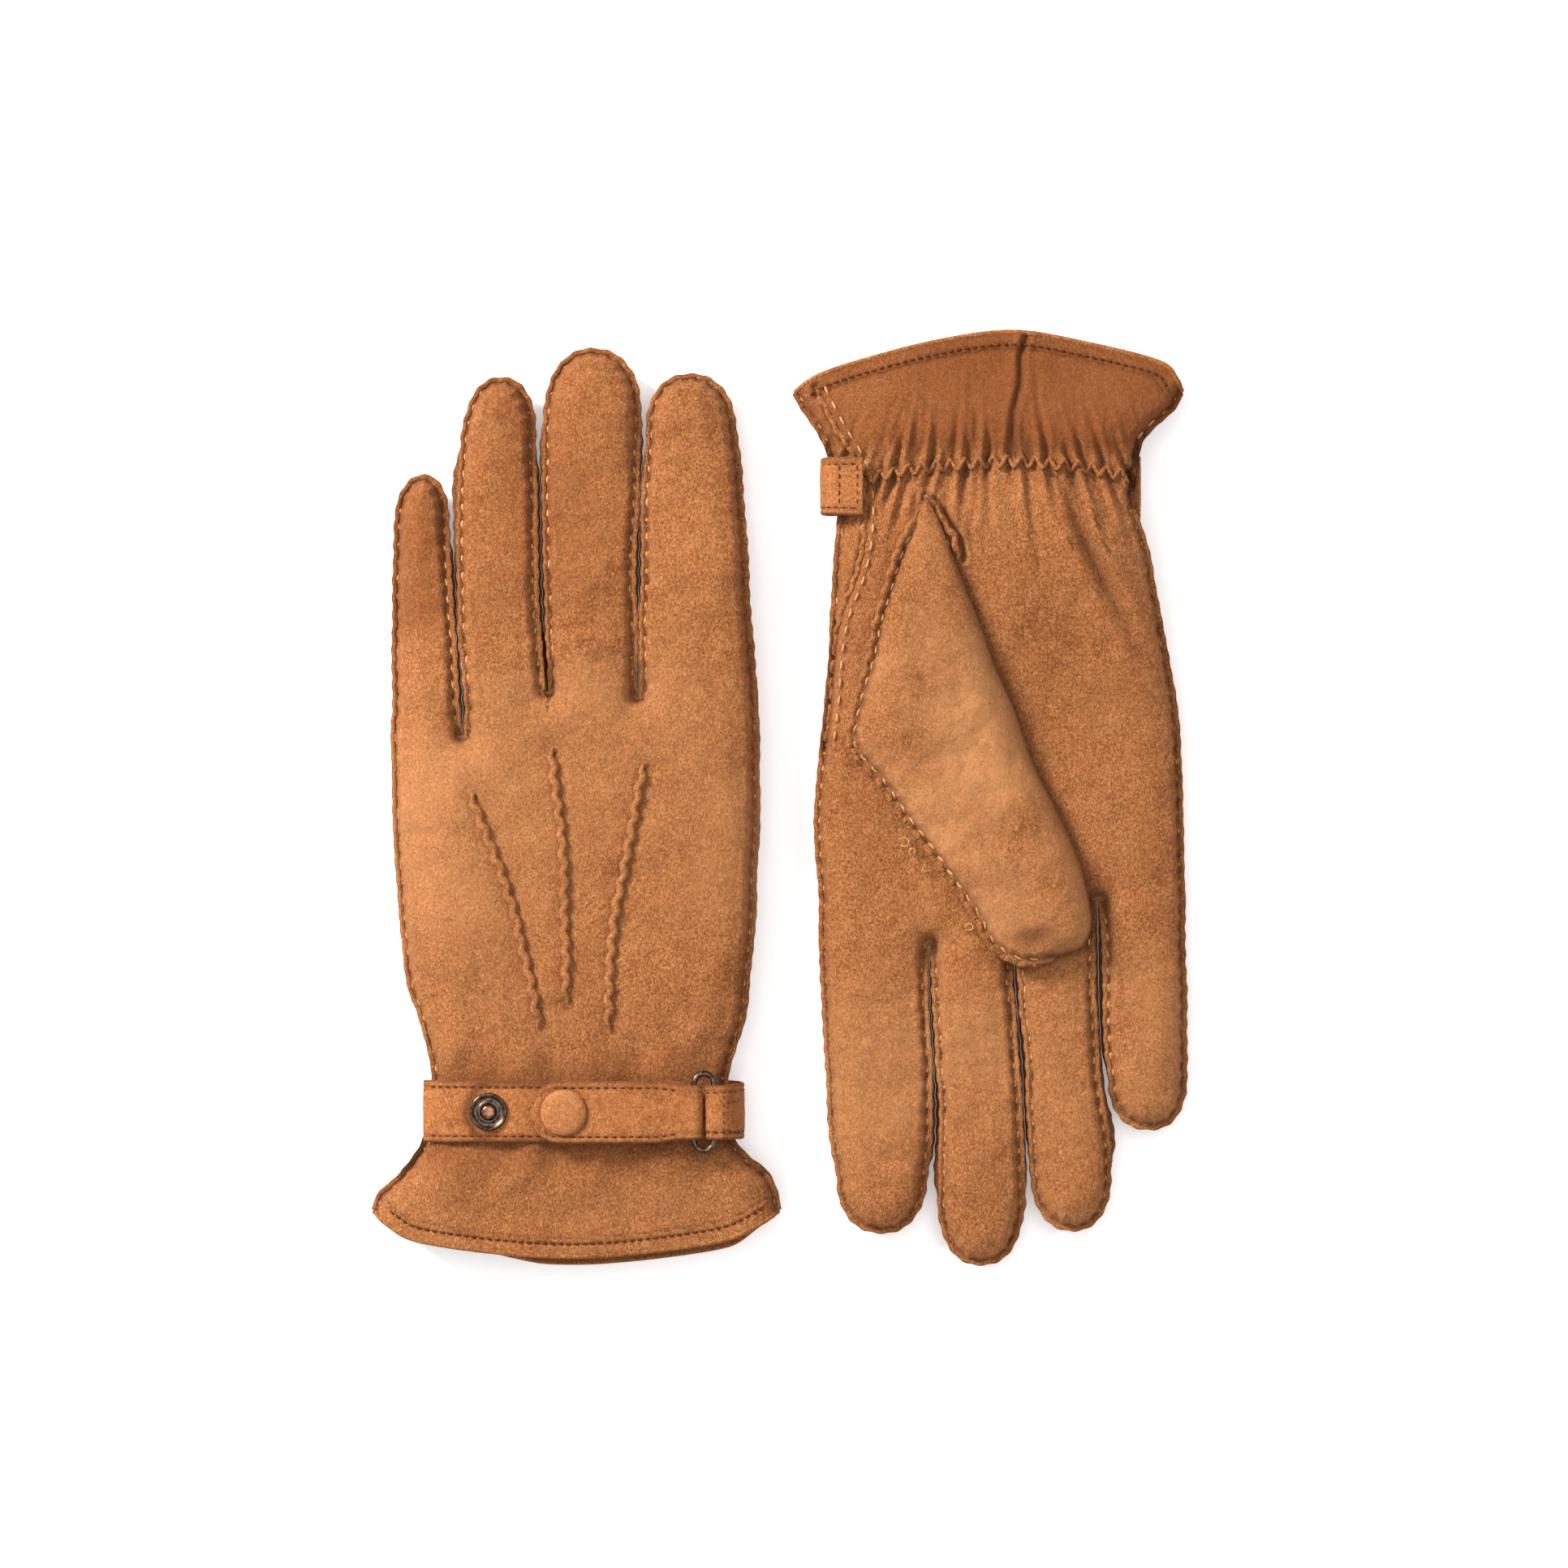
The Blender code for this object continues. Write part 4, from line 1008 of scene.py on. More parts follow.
# ---- the thumb ----
def build_thumb(glove):
    """The thumb, folded flat on the palm: one closed skin with a sewn lip along its seam."""
    seam = scalloped(curve(THUMB_SEAM, 1.0), -1, 60 + glove.seed, 0.25)
    fold = curve([THUMB_SEAM[-1], *THUMB_FOLD, THUMB_SEAM[0]], 1.0)
    loop = tidy_loop(np.concatenate([seam, fold[1:-1]]))
    high = THUMB_RIGHT if glove.mirrored else THUMB_LEFT
    coords, faces = triangulate(loop, FINE if glove.mirrored else COARSE)
    depth = distance(coords, loop, True)
    from_seam, along = near(coords, seam)
    pinch = np.cos(2 * np.pi * along / STITCH_PITCH)
    x, y = coords.T
    lip = smooth((y - 8.0) / 12.0)
    root = 0.25 + 0.75 * smooth((y - 6.0) / 50.0)
    puff = np.sqrt(1 - (1 - np.clip((depth - 0.6) / 12.0, 0, 1)) ** 2)
    top = LEATHER + (high - 2 * LEATHER) * puff * root
    lip_crest = (0.8 + 0.25 * pinch) * bell(from_seam - 0.9, 0.8)
    lip_groove = (1.5 - 0.4 * pinch) * bell(from_seam - 2.3, 0.8)
    top += lip * (lip_crest - lip_groove)
    top += (1.1 * ripple(coords, 20.0, 61) + 0.5 * ripple(coords, 8.0, 63)) * smooth(depth / 6.0) * root
    crease = np.sin(y / 3.4 + 1.5 * ripple(coords, 20.0, 66, 2)) * bell(y - 96, 22)
    top += 0.3 * crease * smooth(depth / 5.0)
    tip_dent = np.hypot((x + 14.5) / 5.5, (y - 131.0) / 3.0)
    top -= 1.8 * np.exp(-(tip_dent**2))
    top = np.clip(top, 0.5, high - 0.2)
    under = -0.35 - 0.25 * (1 - puff)
    # painted shade in the lip's groove and in the dent at the tip, and a darker cut edge round the thumb
    hollow = lip * (0.8 - 0.2 * pinch) * bell(from_seam - 2.3, 0.8)
    hollow += 0.75 * (1 - smooth(depth / 0.9)) + 0.5 * np.exp(-(tip_dent**2))
    outer = np.column_stack([coords, under - top])
    inner = np.column_stack([coords, under])
    count = len(coords)
    solid = np.concatenate([faces[:, ::-1], faces + count]).tolist()
    for a, b in border(faces):
        solid += [(a, b, b + count), (a, b + count, a + count)]
    body = f"{glove.name}_thumb"
    name = f"{glove.name}_thumb_suede"
    placed = glove.place(np.concatenate([outer, inner]))
    # painted light: the thumb is painted lighter from its root towards its tip, over random patches of nap
    # tone
    thumb_light_and_nap = 0.5 * ripple(coords, 26.0, 68, 2) - 0.62 * smooth((y - 20.0) / 40.0)
    obj = make(name, placed, flipped(solid, glove), SUEDE, np.clip(hollow, 0, 1), thumb_light_and_nap)
    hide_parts(f"{glove.name}_thumb_front", f"{glove.name}_thumb_rear")
    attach(obj, body)

    cord = even(offset(seam, 0.85), 0.45)[10:]
    along = np.arange(len(cord)) * 0.45
    swell = (1 + 0.12 * np.cos(along * 2 * np.pi / STITCH_PITCH)) * np.clip(along / 5, 0.3, 1)
    swell *= np.clip(along[::-1] / 5, 0.2, 1)
    lip_line = np.column_stack([cord, nearest(coords, outer[:, 2], cord) - 0.1])
    lip_cord = add_parts(glove, "thumb_seam_lip", [tube_mesh(lip_line, swell, 12, 1.2)], SUEDE)
    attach(lip_cord, body)
    line = even(offset(seam, 2.2), 0.5)[22:]
    z = nearest(coords, outer[:, 2], line)
    rows = dashes(np.column_stack([line, z - 0.28]), -1, STITCH_PITCH, STITCH_LENGTH, STITCH_RADIUS)
    stitches = add_parts(glove, "thumb_stitches", rows, THREAD)
    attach(stitches, body)
    if glove.mirrored:
        loops = [thread_loop(x, y, -1.3, size, turn) for x, y, size, turn in LOOSE_THREADS]
        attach(add_parts(glove, "loose_threads", loops, THREAD), body)


def thread_loop(x, y, z, size, turn):
    """A loose curl of thread."""
    t = np.linspace(0, 1, 30)
    angle = turn + 5.2 * t
    reach = size * (0.5 + 0.5 * t)
    line = np.column_stack([x + reach * np.cos(angle), y + reach * np.sin(angle), z - 0.5 * np.sin(3 * t)])
    return tube_mesh(line, 0.2, 6)


def nearest(coords, values, line):
    """The values at the mesh points nearest to each point of a line, smoothed along it."""
    picked = []
    for p in line:
        gap = ((coords - p) ** 2).sum(axis=1)
        near = np.argpartition(gap, 4)[:4]
        weight = 1 / (gap[near] + 0.05)
        picked.append((values[near] * weight).sum() / weight.sum())
    return np.array(picked)


# ---- cuff, points and palm stitching ----
def build_cuff(glove):
    body = f"{glove.name}_hand"
    parts = []
    for face in (1, -1):
        mouth = glove.cuffs[face]
        inside_row = mouth.copy()
        middle_x = mouth[:, 0].mean()
        inside_row[:, 0] = middle_x + (mouth[:, 0] - middle_x) * 0.93
        inside_row[:, 1] += 9.5
        rows = []
        for t in (0.05, 0.25, 0.5, 0.75, 1.0):
            row = mouth * (1 - t) + inside_row * t
            row[:, 0] = middle_x + (row[:, 0] - middle_x) * 0.985
            low, high = (np.interp(row[:, 1], edge[:40, 1], edge[:40, 0])
                         for edge in (glove.pinky_edge, glove.index_edge))
            row[:, 0] = np.clip(row[:, 0], low + 1.0 + 1.5 * t, high - 1.0 - 1.5 * t)
            height = np.maximum(glove.half_height(row, face) - LEATHER - 0.12 - 0.1 * t, 0.25)
            rows.append(np.column_stack([row, MIDDLE + face * height]))
        outer = np.concatenate(rows)
        inner = outer - np.array([0, 0, face * 0.9])
        inner[:, 2] = MIDDLE + face * np.maximum(face * (inner[:, 2] - MIDDLE), 0.08)
        parts.append(slab(outer, inner, len(rows), len(mouth), face > 0))
    obj = add_parts(glove, "cuff_hem_inside", parts, SUEDE_INNER)
    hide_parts(f"{glove.name}_cuff_hem")
    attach(obj, body)
    stitches = []
    for face in (1, -1):
        inner_line = even(glove.cuffs[face], 0.6)[6:-6]
        stitches += stitch_row(glove, inner_line, face, 2.3, 1.6, 0.34, -HEM_STITCHES, 0.35)
    obj = add_parts(glove, "cuff_stitches", stitches, THREAD_DARK)
    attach(obj, body)
    binding = []
    for face in (1, -1):
        line = even(glove.cuffs[face], 1.0)[1:-1]
        edge = glove.surface(line, face, 0.0)
        edge[:, 2] -= face * 0.5
        binding.append(tube_mesh(edge, 0.72, 8))
    obj = add_parts(glove, "cuff_edge", binding, SUEDE)
    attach(obj, body)


def slab(outer, inner, rows, columns, up):
    """A closed sheet from two grids of points."""
    points = np.concatenate([outer, inner])
    total = rows * columns
    faces = []
    for r in range(rows - 1):
        for c in range(columns - 1):
            a, b = r * columns + c, r * columns + c + 1
            top = (a, b, b + columns, a + columns)
            faces.append(top)
            faces.append(tuple(i + total for i in top[::-1]))
    rim = [(r * columns, (r + 1) * columns) for r in range(rows - 1)]
    rim += [((r + 1) * columns + columns - 1, r * columns + columns - 1) for r in range(rows - 1)]
    rim += [(c + 1, c) for c in range(columns - 1)]
    rim += [((rows - 1) * columns + c, (rows - 1) * columns + c + 1) for c in range(columns - 1)]
    faces += [(a, b, b + total, a + total) for a, b in rim]
    normal = np.cross(points[1] - points[0], points[columns] - points[0])
    if (normal[2] > 0) != up:
        faces = [f[::-1] for f in faces]
    return points, faces


def build_points(glove):
    """Three raised lines down the back, each a narrow tuck that wavers with its stitches."""
    parts, sunk = [], []
    for n, line in enumerate(POINTS):
        path = even(curve(line, 1.0), 0.45)
        along = np.arange(len(path)) * 0.45
        sway = 0.5 * np.sin(along * 2 * np.pi / POINT_PITCH + n) + 0.35 * ripple(path, 9.0, 70 + n, 2)
        wavy = path + (offset(path, 1.0) - path) * sway[:, None]
        ends = np.minimum(1, np.minimum(along, along[::-1]) / 5.0) ** 0.6
        radius = (1.15 + 0.12 * np.cos(along * 2 * np.pi / POINT_PITCH + n)) * np.maximum(ends, 0.12)
        parts.append(tube_mesh(glove.surface(wavy, 1, 0.65), radius, 12, 1.1))
        marks = glove.surface(offset(wavy, 0.85), 1, 0.25)
        sunk += dashes(marks, 1, POINT_PITCH, 2.0, 0.26)
    # the raised lines are painted a little lighter, as painted light on their tops
    obj = add_parts(glove, "back_points", parts, SUEDE, lean=-0.3)
    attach(obj, f"{glove.name}_hand")
    obj = add_parts(glove, "back_point_stitches", sunk, THREAD_DARK)
    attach(obj, f"{glove.name}_hand")


def piping(glove, line, seed, radius=0.95, lift=0.25, sway=0.3, inset=0.0):
    """A seam's raised lip on the palm: a soft cord that swells between stitches."""
    path = even(offset(np.asarray(line, float), inset), 0.45)
    along = np.arange(len(path)) * 0.45
    shift = sway * np.sin(along * 2 * np.pi / STITCH_PITCH) + 0.3 * ripple(path, 9.0, seed, 2)
    path = path + (offset(path, 1.0) - path) * shift[:, None]
    ends = np.clip(np.minimum(along, along[::-1]) / 4.0, 0.1, 1) ** 0.5
    swell = 1 + 0.12 * np.cos(along * 2 * np.pi / STITCH_PITCH)
    return tube_mesh(glove.surface(path, -1, lift), radius * swell * ends, 12, 1.15)


def build_palm_stitching(glove):
    quirk = curve([*THUMB_SEAM[8:0:-1], *QUIRK_SEAM], 1.0)
    seams = [piping(glove, curve(PALM_INDEX_SEAM, 1.0), 71),
             piping(glove, quirk, 73, 1.05, 0.5, 0.35, -1.5)]
    obj = add_parts(glove, "palm_seam_lips", seams, SUEDE)
    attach(obj, f"{glove.name}_hand")
    rows = stitch_row(glove, curve(PALM_INDEX_SEAM, 1.0), -1, inset=2.4)
    rows += stitch_row(glove, curve(QUIRK_SEAM, 1.0), -1, 4.0, 2.3, 0.3, -3.6)
    obj = add_parts(glove, "palm_stitches", rows, THREAD)
    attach(obj, f"{glove.name}_hand")
    x = np.arange(-41.0, 34.0, 0.15)
    elastic = curve(PALM_ELASTIC, 2.0)[::-1]
    zigzag = np.column_stack([x, np.interp(x, elastic[:, 0], elastic[:, 1])])
    zigzag[:, 1] += zigzag_of(zigzag, np.zeros(len(x)))[0]
    ridge = tube_mesh(glove.surface(zigzag[::3], -1, 0.15), 0.62, 8, 1.2)
    obj = add_parts(glove, "elastic_ridge", [ridge], SUEDE)
    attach(obj, f"{glove.name}_hand")
    zigzag[:, 1] += 0.75
    rows = dashes(glove.surface(zigzag, -1, 0.3), -1, 2.0, 1.5, 0.2)
    obj = add_parts(glove, "elastic_zigzag", rows, THREAD_DARK)
    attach(obj, f"{glove.name}_hand")
    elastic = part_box(f"{glove.name}_wrist_elastic")
    low, high = np.array(elastic[0]), np.array(elastic[1])
    columns, rows_across = 90, 12
    u, v = np.meshgrid(np.linspace(0, 1, columns), np.linspace(0, 1, rows_across))
    x = low[0] + (high[0] - low[0]) * u
    y = low[1] + (high[1] - low[1]) * v
    gathered = 0.00008 * np.sin(u * 180) * np.cos(v * 3)
    top = np.stack([x, y, high[2] - 0.0001 + gathered], axis=-1).reshape(-1, 3)
    bottom = np.stack([x, y, low[2] + 0.0001 + gathered], axis=-1).reshape(-1, 3)
    points, faces = slab(top, bottom, rows_across, columns, True)
    obj = make(f"{glove.name}_elastic_webbing", points, faces, WEBBING)
    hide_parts(f"{glove.name}_wrist_elastic")
    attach(obj, f"{glove.name}_hand")


# ---- strap ----
def ribbon(glove, name, path, half_widths, thickness, seed, shade=None):
    """A doubled leather strip along a path in the x-z plane, its width across y, with soft rounded edges.

    Its outer side is to the left of the path. half_widths gives (distance along, half the width) and shade
    how much painted shadow each point of the outer side gets. Returns the object, and its path, outward
    directions, distances along and half widths for stitches to follow.
    """
    path = even(np.asarray(path, float), 0.7)
    count = len(path)
    along = np.gradient(path, axis=0)
    along /= np.linalg.norm(along, axis=1)[:, None]
    out = np.stack([-along[:, 1], along[:, 0]], axis=1)
    lengths = np.arange(count) * 0.7
    half = np.interp(lengths, [k for k, _ in half_widths], [w for _, w in half_widths])
    columns = 25
    u = np.sin(np.linspace(-1, 1, columns) * np.pi / 2)
    wobble = ripple(np.stack([lengths, lengths * 0], axis=1), 11.0, seed, 2) * 0.25
    across = half[:, None] * u[None, :] + wobble[:, None]
    from_edge = half[:, None] * (1 - np.abs(u))[None, :]
    level = np.sqrt(1 - (1 - np.clip(from_edge / 1.1, 0, 1)) ** 2)
    groove = bell(from_edge - 1.9, 0.5)
    grid = np.stack([np.repeat(lengths, columns), across.ravel()], axis=1)
    bumps = 0.16 * ripple(grid, 7.0, seed + 1) + 0.1 * ripple(grid, 3.0, seed + 2, 2)
    bumps = bumps.reshape(count, columns)
    height = thickness * (0.35 + 0.65 * level) - 0.28 * groove + bumps * level
    drop = thickness * 0.3 * (1 - level)
    outer, inner = (np.stack([path[:, 0:1] + out[:, 0:1] * raised, across,
                              path[:, 1:2] + out[:, 1:2] * raised], axis=-1) for raised in (height, drop))
    points, faces = slab(outer.reshape(-1, 3), inner.reshape(-1, 3), count, columns, True)
    faces = orient(points, faces, outer, inner)
    # painted shade in the groove inside each edge's stitches and along the edges, where the cut edge is
    # also darker
    hollow = 0.9 * (1 - smooth((from_edge - 0.4) / 0.6)) + 0.5 * groove
    hollow += shade(outer) if shade else 0
    obj = make(f"{glove.name}_{name}", glove.place(points, True), flipped(faces, glove),
               SUEDE_STRAP, np.clip(hollow, 0, 1).ravel())
    return obj, path, out, lengths, half


def orient(points, faces, outer, inner):
    """Turns all faces so that the first one looks from the inner grid to the outer."""
    a, b, c = (points[i] for i in faces[0][:3])
    normal = np.cross(b - a, c - a)
    if normal @ (outer[0, 1] - inner[0, 1]) < 0:
        return [f[::-1] for f in faces]
    return faces


def ribbon_stitches(path, out, lengths, half, start, end, thickness, inset=1.9):
    """Stitch rows near both edges of a ribbon."""
    rows = []
    use = (lengths >= start) & (lengths <= end)
    for side in (-1, 1):
        y = side * (half[use] - inset)
        p = path[use] + out[use] * thickness
        line = np.column_stack([p[:, 0], y, p[:, 1]])
        rows += dashes(line, 1, MACHINE_PITCH, MACHINE_PITCH * 0.66, 0.32)
    return rows


def painted_tab_shadow(points):
    """Painted shadow on the lower run round the tab's round end, which lies over it."""
    beyond = np.hypot(np.minimum(points[..., 0] + TAB_END + TAB_HALF, 0), points[..., 1]) - TAB_HALF
    return bell(beyond, 1.5) * (points[..., 0] < -TAB_END + TAB_HALF)


def painted_cap_shadow(points):
    """Painted shade on the tab round the foot of its cap."""
    beyond = np.hypot(points[..., 0] - CAP_X, points[..., 1]) - 6.7
    return 0.7 * bell(beyond, 0.7) * (points[..., 2] > STRAP_TOP)


def build_strap(glove):
    hand, ring, tab = (f"{glove.name}_{word}" for word in ("hand", "ring", "tab"))
    # The lower run, from the pinky seam over the back to just short of the ring.
    x = np.linspace(-44.6, 29.5, 60)
    centre = np.column_stack([x, np.zeros_like(x)])
    broad = np.max([glove.half_height(centre + np.array([0, dy]), 1) for dy in (-6, 0, 6)], axis=0)
    back = MIDDLE + np.maximum(broad, glove.half_height(centre, 1)) + 0.45
    back = np.convolve(np.pad(back, 3, mode="edge"), np.ones(7) / 7, mode="valid")
    back = np.minimum(np.maximum(back, MIDDLE + 1.2), STRAP_TOP - 1.15)
    obj, path, out, lengths, half = ribbon(glove, "strap_lower_run", np.column_stack([x, back]),
                                           [(0, 9.0), (90, 8.8)], 1.3, 80, painted_tab_shadow)
    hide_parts(f"{glove.name}_strap")
    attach(obj, hand)
    rows = ribbon_stitches(path, out, lengths, half, 2.0, lengths[-1] - 4, 1.05)
    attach(add_parts(glove, "strap_lower_stitches", rows, THREAD_DARK, True), hand)

    # The upper run: from under the near bar, round it, and back over to the snap.
    bar = np.array([BAR_NEAR, BAR_Z])
    wrap = [bar + 1.25 * np.array([math.cos(math.radians(a)), math.sin(math.radians(a))])
            for a in range(-95, 95, 15)]
    start = [(BAR_NEAR - 1.6, BAR_Z - 1.25), (BAR_NEAR - 0.8, BAR_Z - 1.25)]
    over = [(27.5, BAR_Z + 1.5), (20.0, BAR_Z + 1.75), (8.0, STRAP_TOP + 2.9), (CAP_X, STRAP_TOP + 2.85),
            (-14.3, STRAP_TOP + 3.1)]
    centre_line = even(curve([*start, *wrap, *over], 0.6)[::-1], 0.7)
    total = (len(centre_line) - 1) * 0.7
    round_end = [(9.0 - 9.0 * math.cos(math.radians(a)), max(9.0 * math.sin(math.radians(a)), 0.6))
                 for a in range(0, 91, 6)]
    widths = [*round_end, (total - 16.0, 8.9), (total - 9.0, 7.9), (total, 7.7)]
    obj, path, out, lengths, half = ribbon(glove, "strap_upper_run", centre_line, widths, 1.3, 90,
                                           painted_cap_shadow)
    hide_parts(f"{glove.name}_strap_tab")
    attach(obj, tab)
    rows = ribbon_stitches(path, out, lengths, half, 9.0, total - 8.0, 1.05)
    arc_line = []
    for a in range(90, -91, -5):
        r = 9.0 - 1.9
        at = 9.0 - r * math.cos(math.radians(a))
        arc_line.append((at, r * math.sin(math.radians(a))))
    arc_line = np.array(arc_line)
    px = np.interp(arc_line[:, 0], lengths, path[:, 0] + out[:, 0] * 1.05)
    pz = np.interp(arc_line[:, 0], lengths, path[:, 1] + out[:, 1] * 1.05)
    rows += dashes(np.column_stack([px, arc_line[:, 1], pz]), 1, MACHINE_PITCH, 1.5, 0.2)
    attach(add_parts(glove, "strap_upper_stitches", rows, THREAD_DARK, True), tab)
    build_keeper(glove, hand)
    build_ring(glove, ring)
    build_snap(glove, hand, tab)


def build_keeper(glove, hand):
    bar = np.array([BAR_FAR, BAR_Z])
    wrap = [bar + 1.25 * np.array([math.cos(math.radians(a)), math.sin(math.radians(a))])
            for a in range(265, 85, -15)]
    route = [(42.4, BAR_Z - 1.5), (40.4, BAR_Z - 1.3), *wrap, (42.0, BAR_Z + 0.7), (44.6, BAR_Z - 2.6),
             (46.2, MIDDLE + 4.0), (46.7, MIDDLE), (46.3, 3.0), (45.0, 0.6), (42.6, -0.35), (35.5, -0.4)]
    obj, path, out, lengths, half = ribbon(glove, "keeper", curve(route, 0.6), [(0, 7.7), (40, 8.6)],
                                           1.15, 100)
    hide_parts(f"{glove.name}_keeper_loop")
    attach(obj, hand)
    rows = ribbon_stitches(path, out, lengths, half, 2.0, 60.0, 0.9, 2.2)
    y = np.linspace(-6.4, 6.4, 40)
    across = np.column_stack([np.full(40, 41.9), y, np.full(40, BAR_Z + 2.05)])
    rows += dashes(across, 1, MACHINE_PITCH, 1.5, 0.2)
    for x in (37.2, 42.4):
        under = np.column_stack([np.full(40, x), y, np.full(40, -1.62)])
        rows += dashes(under, -1, MACHINE_PITCH, 1.5, 0.2)
    for y0, curl in ((2.4, 1.0), (-5.2, -1.0)):
        t = np.linspace(0, 1, 14)
        loose = np.column_stack([43.0 + 3.4 * t, y0 + curl * (1.5 * t**2 + 0.4 * np.sin(5 * t)),
                                 BAR_Z + 1.3 - 1.6 * t**2])
        rows.append(tube_mesh(loose, 0.17, 6))
    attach(add_parts(glove, "keeper_stitches", rows, THREAD_DARK, True), hand)


def build_ring(glove, body):
    """A flat oval ring of round wire whose thickness wavers very slightly."""
    middle_x = (BAR_NEAR + BAR_FAR) / 2
    radius = (BAR_FAR - BAR_NEAR) / 2
    straight = RING_HALF_LENGTH - radius
    path = []
    for sign, first in ((1, 0), (-1, 180)):
        for a in range(first, first + 181, 12):
            path.append((middle_x + radius * math.cos(math.radians(a)),
                         sign * straight + radius * math.sin(math.radians(a)), BAR_Z))
    path = even(np.array([*path, path[0]]), 0.6)[:-1]
    sides, count = 16, len(path)
    along = np.roll(path, -1, axis=0) - np.roll(path, 1, axis=0)
    along /= np.linalg.norm(along, axis=1)[:, None]
    side = np.cross(along, np.array([0, 0, 1.0]))
    angles = 2 * np.pi * np.arange(sides) / sides
    wire = WIRE * (1 + 0.02 * np.sin(np.arange(count) * 1.7))
    ring = (side[:, None, :] * np.cos(angles)[None, :, None]
            + np.array([0, 0, 1.0]) * np.sin(angles)[None, :, None])
    points = (path[:, None, :] + ring * wire[:, None, None]).reshape(-1, 3)
    faces = [(i * sides + k, i * sides + (k + 1) % sides, (i + 1) % count * sides + (k + 1) % sides,
              (i + 1) % count * sides + k) for i in range(count) for k in range(sides)]
    obj = make(f"{glove.name}_oval_ring", glove.place(points, True), flipped(faces, glove), METAL)
    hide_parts(f"{glove.name}_strap_ring")
    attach(obj, body)


def lathe(profile, centre_x, segments=64):
    """A (radius, z) profile turned about an upright line; it starts and ends on that line."""
    points, faces, rings = [], [], []
    for radius, z in profile:
        if radius == 0:
            rings.append([len(points)])
            points.append((centre_x, 0, z))
            continue
        rings.append([len(points) + k for k in range(segments)])
        points += [(centre_x + radius * math.cos(2 * math.pi * k / segments),
                    radius * math.sin(2 * math.pi * k / segments), z) for k in range(segments)]
    for a, b in zip(rings, rings[1:]):
        for k in range(segments):
            quad = (a[k % len(a)], a[(k + 1) % len(a)], b[(k + 1) % len(b)], b[k % len(b)])
            faces.append(tuple(dict.fromkeys(quad)))
    return np.array(points, float), faces


def soft(profile, step=0.22):
    """A profile with its corners eased."""
    return [tuple(p) for p in even(curve(profile, step), step)]


def build_snap(glove, hand, tab):
    base = STRAP_TOP + 0.3
    dish = [(5.3, base), (5.5, base + 0.35), (5.0, base + 0.75), (4.4, base + 0.45), (4.0, base + 0.2),
            (3.4, base + 0.2), (3.0, base + 0.42), (2.5, base + 0.42), (2.2, base + 0.15)]
    post = [(2.05, base + 0.2), (1.75, base + 0.7), (2.0, base + 1.15), (1.55, base + 1.55),
            (0.8, base + 1.68)]
    for word, x in (("outer", STUD_OUTER_X), ("inner", CAP_X)):
        points, faces = lathe([(0, base + 0.1), (2.05, base + 0.12), *soft(post), (0, base + 1.7)], x)
        pin = make(f"{glove.name}_post_{word}", glove.place(points, True), flipped(faces, glove), COPPER)
        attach(pin, hand)
        points, faces = lathe([(0, base), *soft(dish), (0, base + 0.06)], x)
        obj = make(f"{glove.name}_stud_{word}", glove.place(points, True), flipped(faces, glove), METAL)
        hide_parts(f"{glove.name}_snap_stud_{word}")
        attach(obj, hand)
    cup = [(0, base + 2.0), (2.25, base + 2.0), (2.35, base + 0.85), (4.8, base + 0.8), (4.95, base + 1.6),
           (4.1, base + 2.15), (0, base + 2.18)]
    points, faces = lathe(cup, CAP_X)
    obj = make(f"{glove.name}_socket", glove.place(points, True), flipped(faces, glove), METAL)
    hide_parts(f"{glove.name}_snap_socket")
    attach(obj, tab)
    foot = STRAP_TOP + 4.1
    crown = [(6.3, foot), (6.65, foot + 0.35), (6.4, foot + 0.95), (5.6, foot + 1.5), (4.2, foot + 1.88),
             (2.2, foot + 2.08), (0.6, foot + 2.12)]
    points, faces = lathe([(0, foot), (6.2, foot), *soft(crown), (0, foot + 2.12)], CAP_X, 72)
    dents = np.array([noise.noise(Vector((p[0] * 0.5, p[1] * 0.5, 3.0))) for p in points])
    points[:, 2] += np.where(points[:, 2] > foot + 0.6, 0.1 * dents - 0.05, 0)
    # the cap is painted a little lighter, as painted light on its dome
    obj = make(f"{glove.name}_cap", glove.place(points, True), flipped(faces, glove), SUEDE_STRAP,
               lean=np.full(len(points), -0.35))
    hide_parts(f"{glove.name}_snap_cap")
    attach(obj, tab)


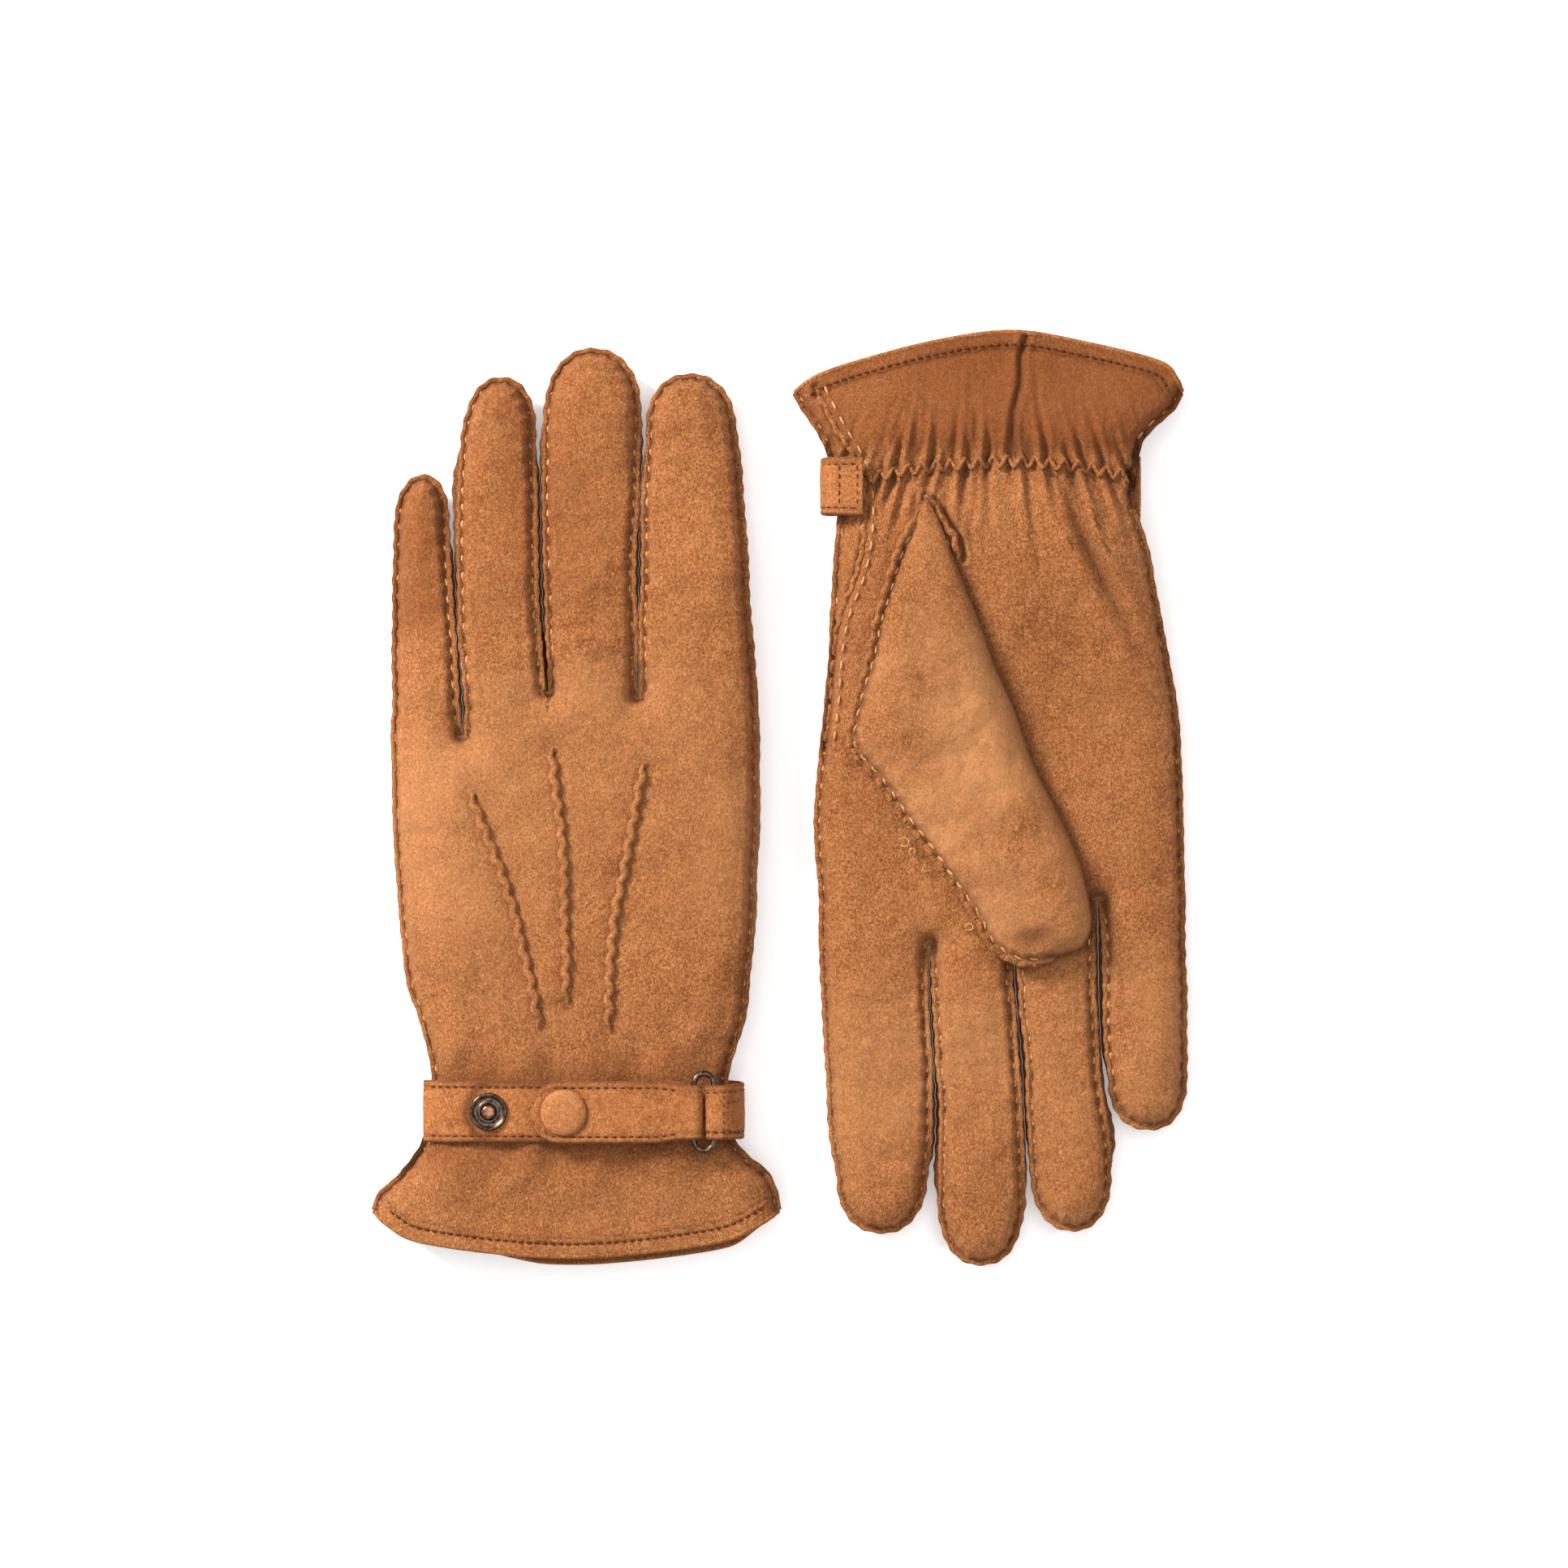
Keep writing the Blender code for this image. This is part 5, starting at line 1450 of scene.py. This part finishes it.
# ---- table, light and camera ----
def build_stage():
    floor_mesh = bpy.data.meshes.new("table")
    reach, below = 3.0, -0.0004
    corners = [(x * reach, y * reach, below) for x, y in ((-1, -1), (1, -1), (1, 1), (-1, 1))]
    floor_mesh.from_pydata(corners, [], [(0, 1, 2, 3)])
    floor_mesh.materials.append(table_material())
    floor = bpy.data.objects.new("table", floor_mesh)
    bpy.context.scene.collection.objects.link(floor)
    rest = floor_mesh.attributes.new("rest", "FLOAT_VECTOR", "POINT")
    rest.data.foreach_set("vector", (np.array(corners) / MM).astype(np.float32).ravel())


def area_light(name, where, size, watts, colour=(1, 1, 1)):
    data = bpy.data.lights.new(name, "AREA")
    data.shape = "DISK"
    data.size = size
    data.energy = watts
    data.color = colour
    light = bpy.data.objects.new(name, data)
    light.location = where
    light.rotation_euler = (Vector((0, 0, 0)) - Vector(where)).to_track_quat("-Z", "Y").to_euler()
    bpy.context.scene.collection.objects.link(light)


def build_lights():
    area_light("key", (-1.25, 0.95, 1.0), 0.6, 66.0, (1.0, 0.985, 0.96))
    area_light("overhead", (0.2, 0.1, 2.2), 2.2, 24.0)
    world = bpy.data.worlds.new("studio")
    bpy.context.scene.world = world
    world.use_nodes = True
    background = world.node_tree.nodes["Background"]
    background.inputs["Color"].default_value = (1.0, 1.0, 1.0, 1.0)
    background.inputs["Strength"].default_value = 0.62
    bpy.context.scene.view_settings.view_transform = "Standard"


def build_camera():
    """Straight above the pair; the whole width of the frame takes in 454 mm of the table."""
    height, frame_width = 2.0, 0.454
    data = bpy.data.cameras.new("camera")
    data.sensor_width = 36.0
    data.lens = 36.0 * (height - 0.015) / frame_width
    data.clip_end = 20.0
    camera = bpy.data.objects.new("camera", data)
    camera.location = (0.0005, 0.00435, height)
    bpy.context.scene.collection.objects.link(camera)
    bpy.context.scene.camera = camera


def build_glove(glove):
    build_hand(glove)
    for finger in HINGES:
        build_finger(glove, finger)
    build_thumb(glove)
    build_cuff(glove)
    build_points(glove)
    build_palm_stitching(glove)
    build_strap(glove)


build_glove(Glove("left", LEFT, False))
build_glove(Glove("right", RIGHT, True))
build_stage()
build_lights()
build_camera()
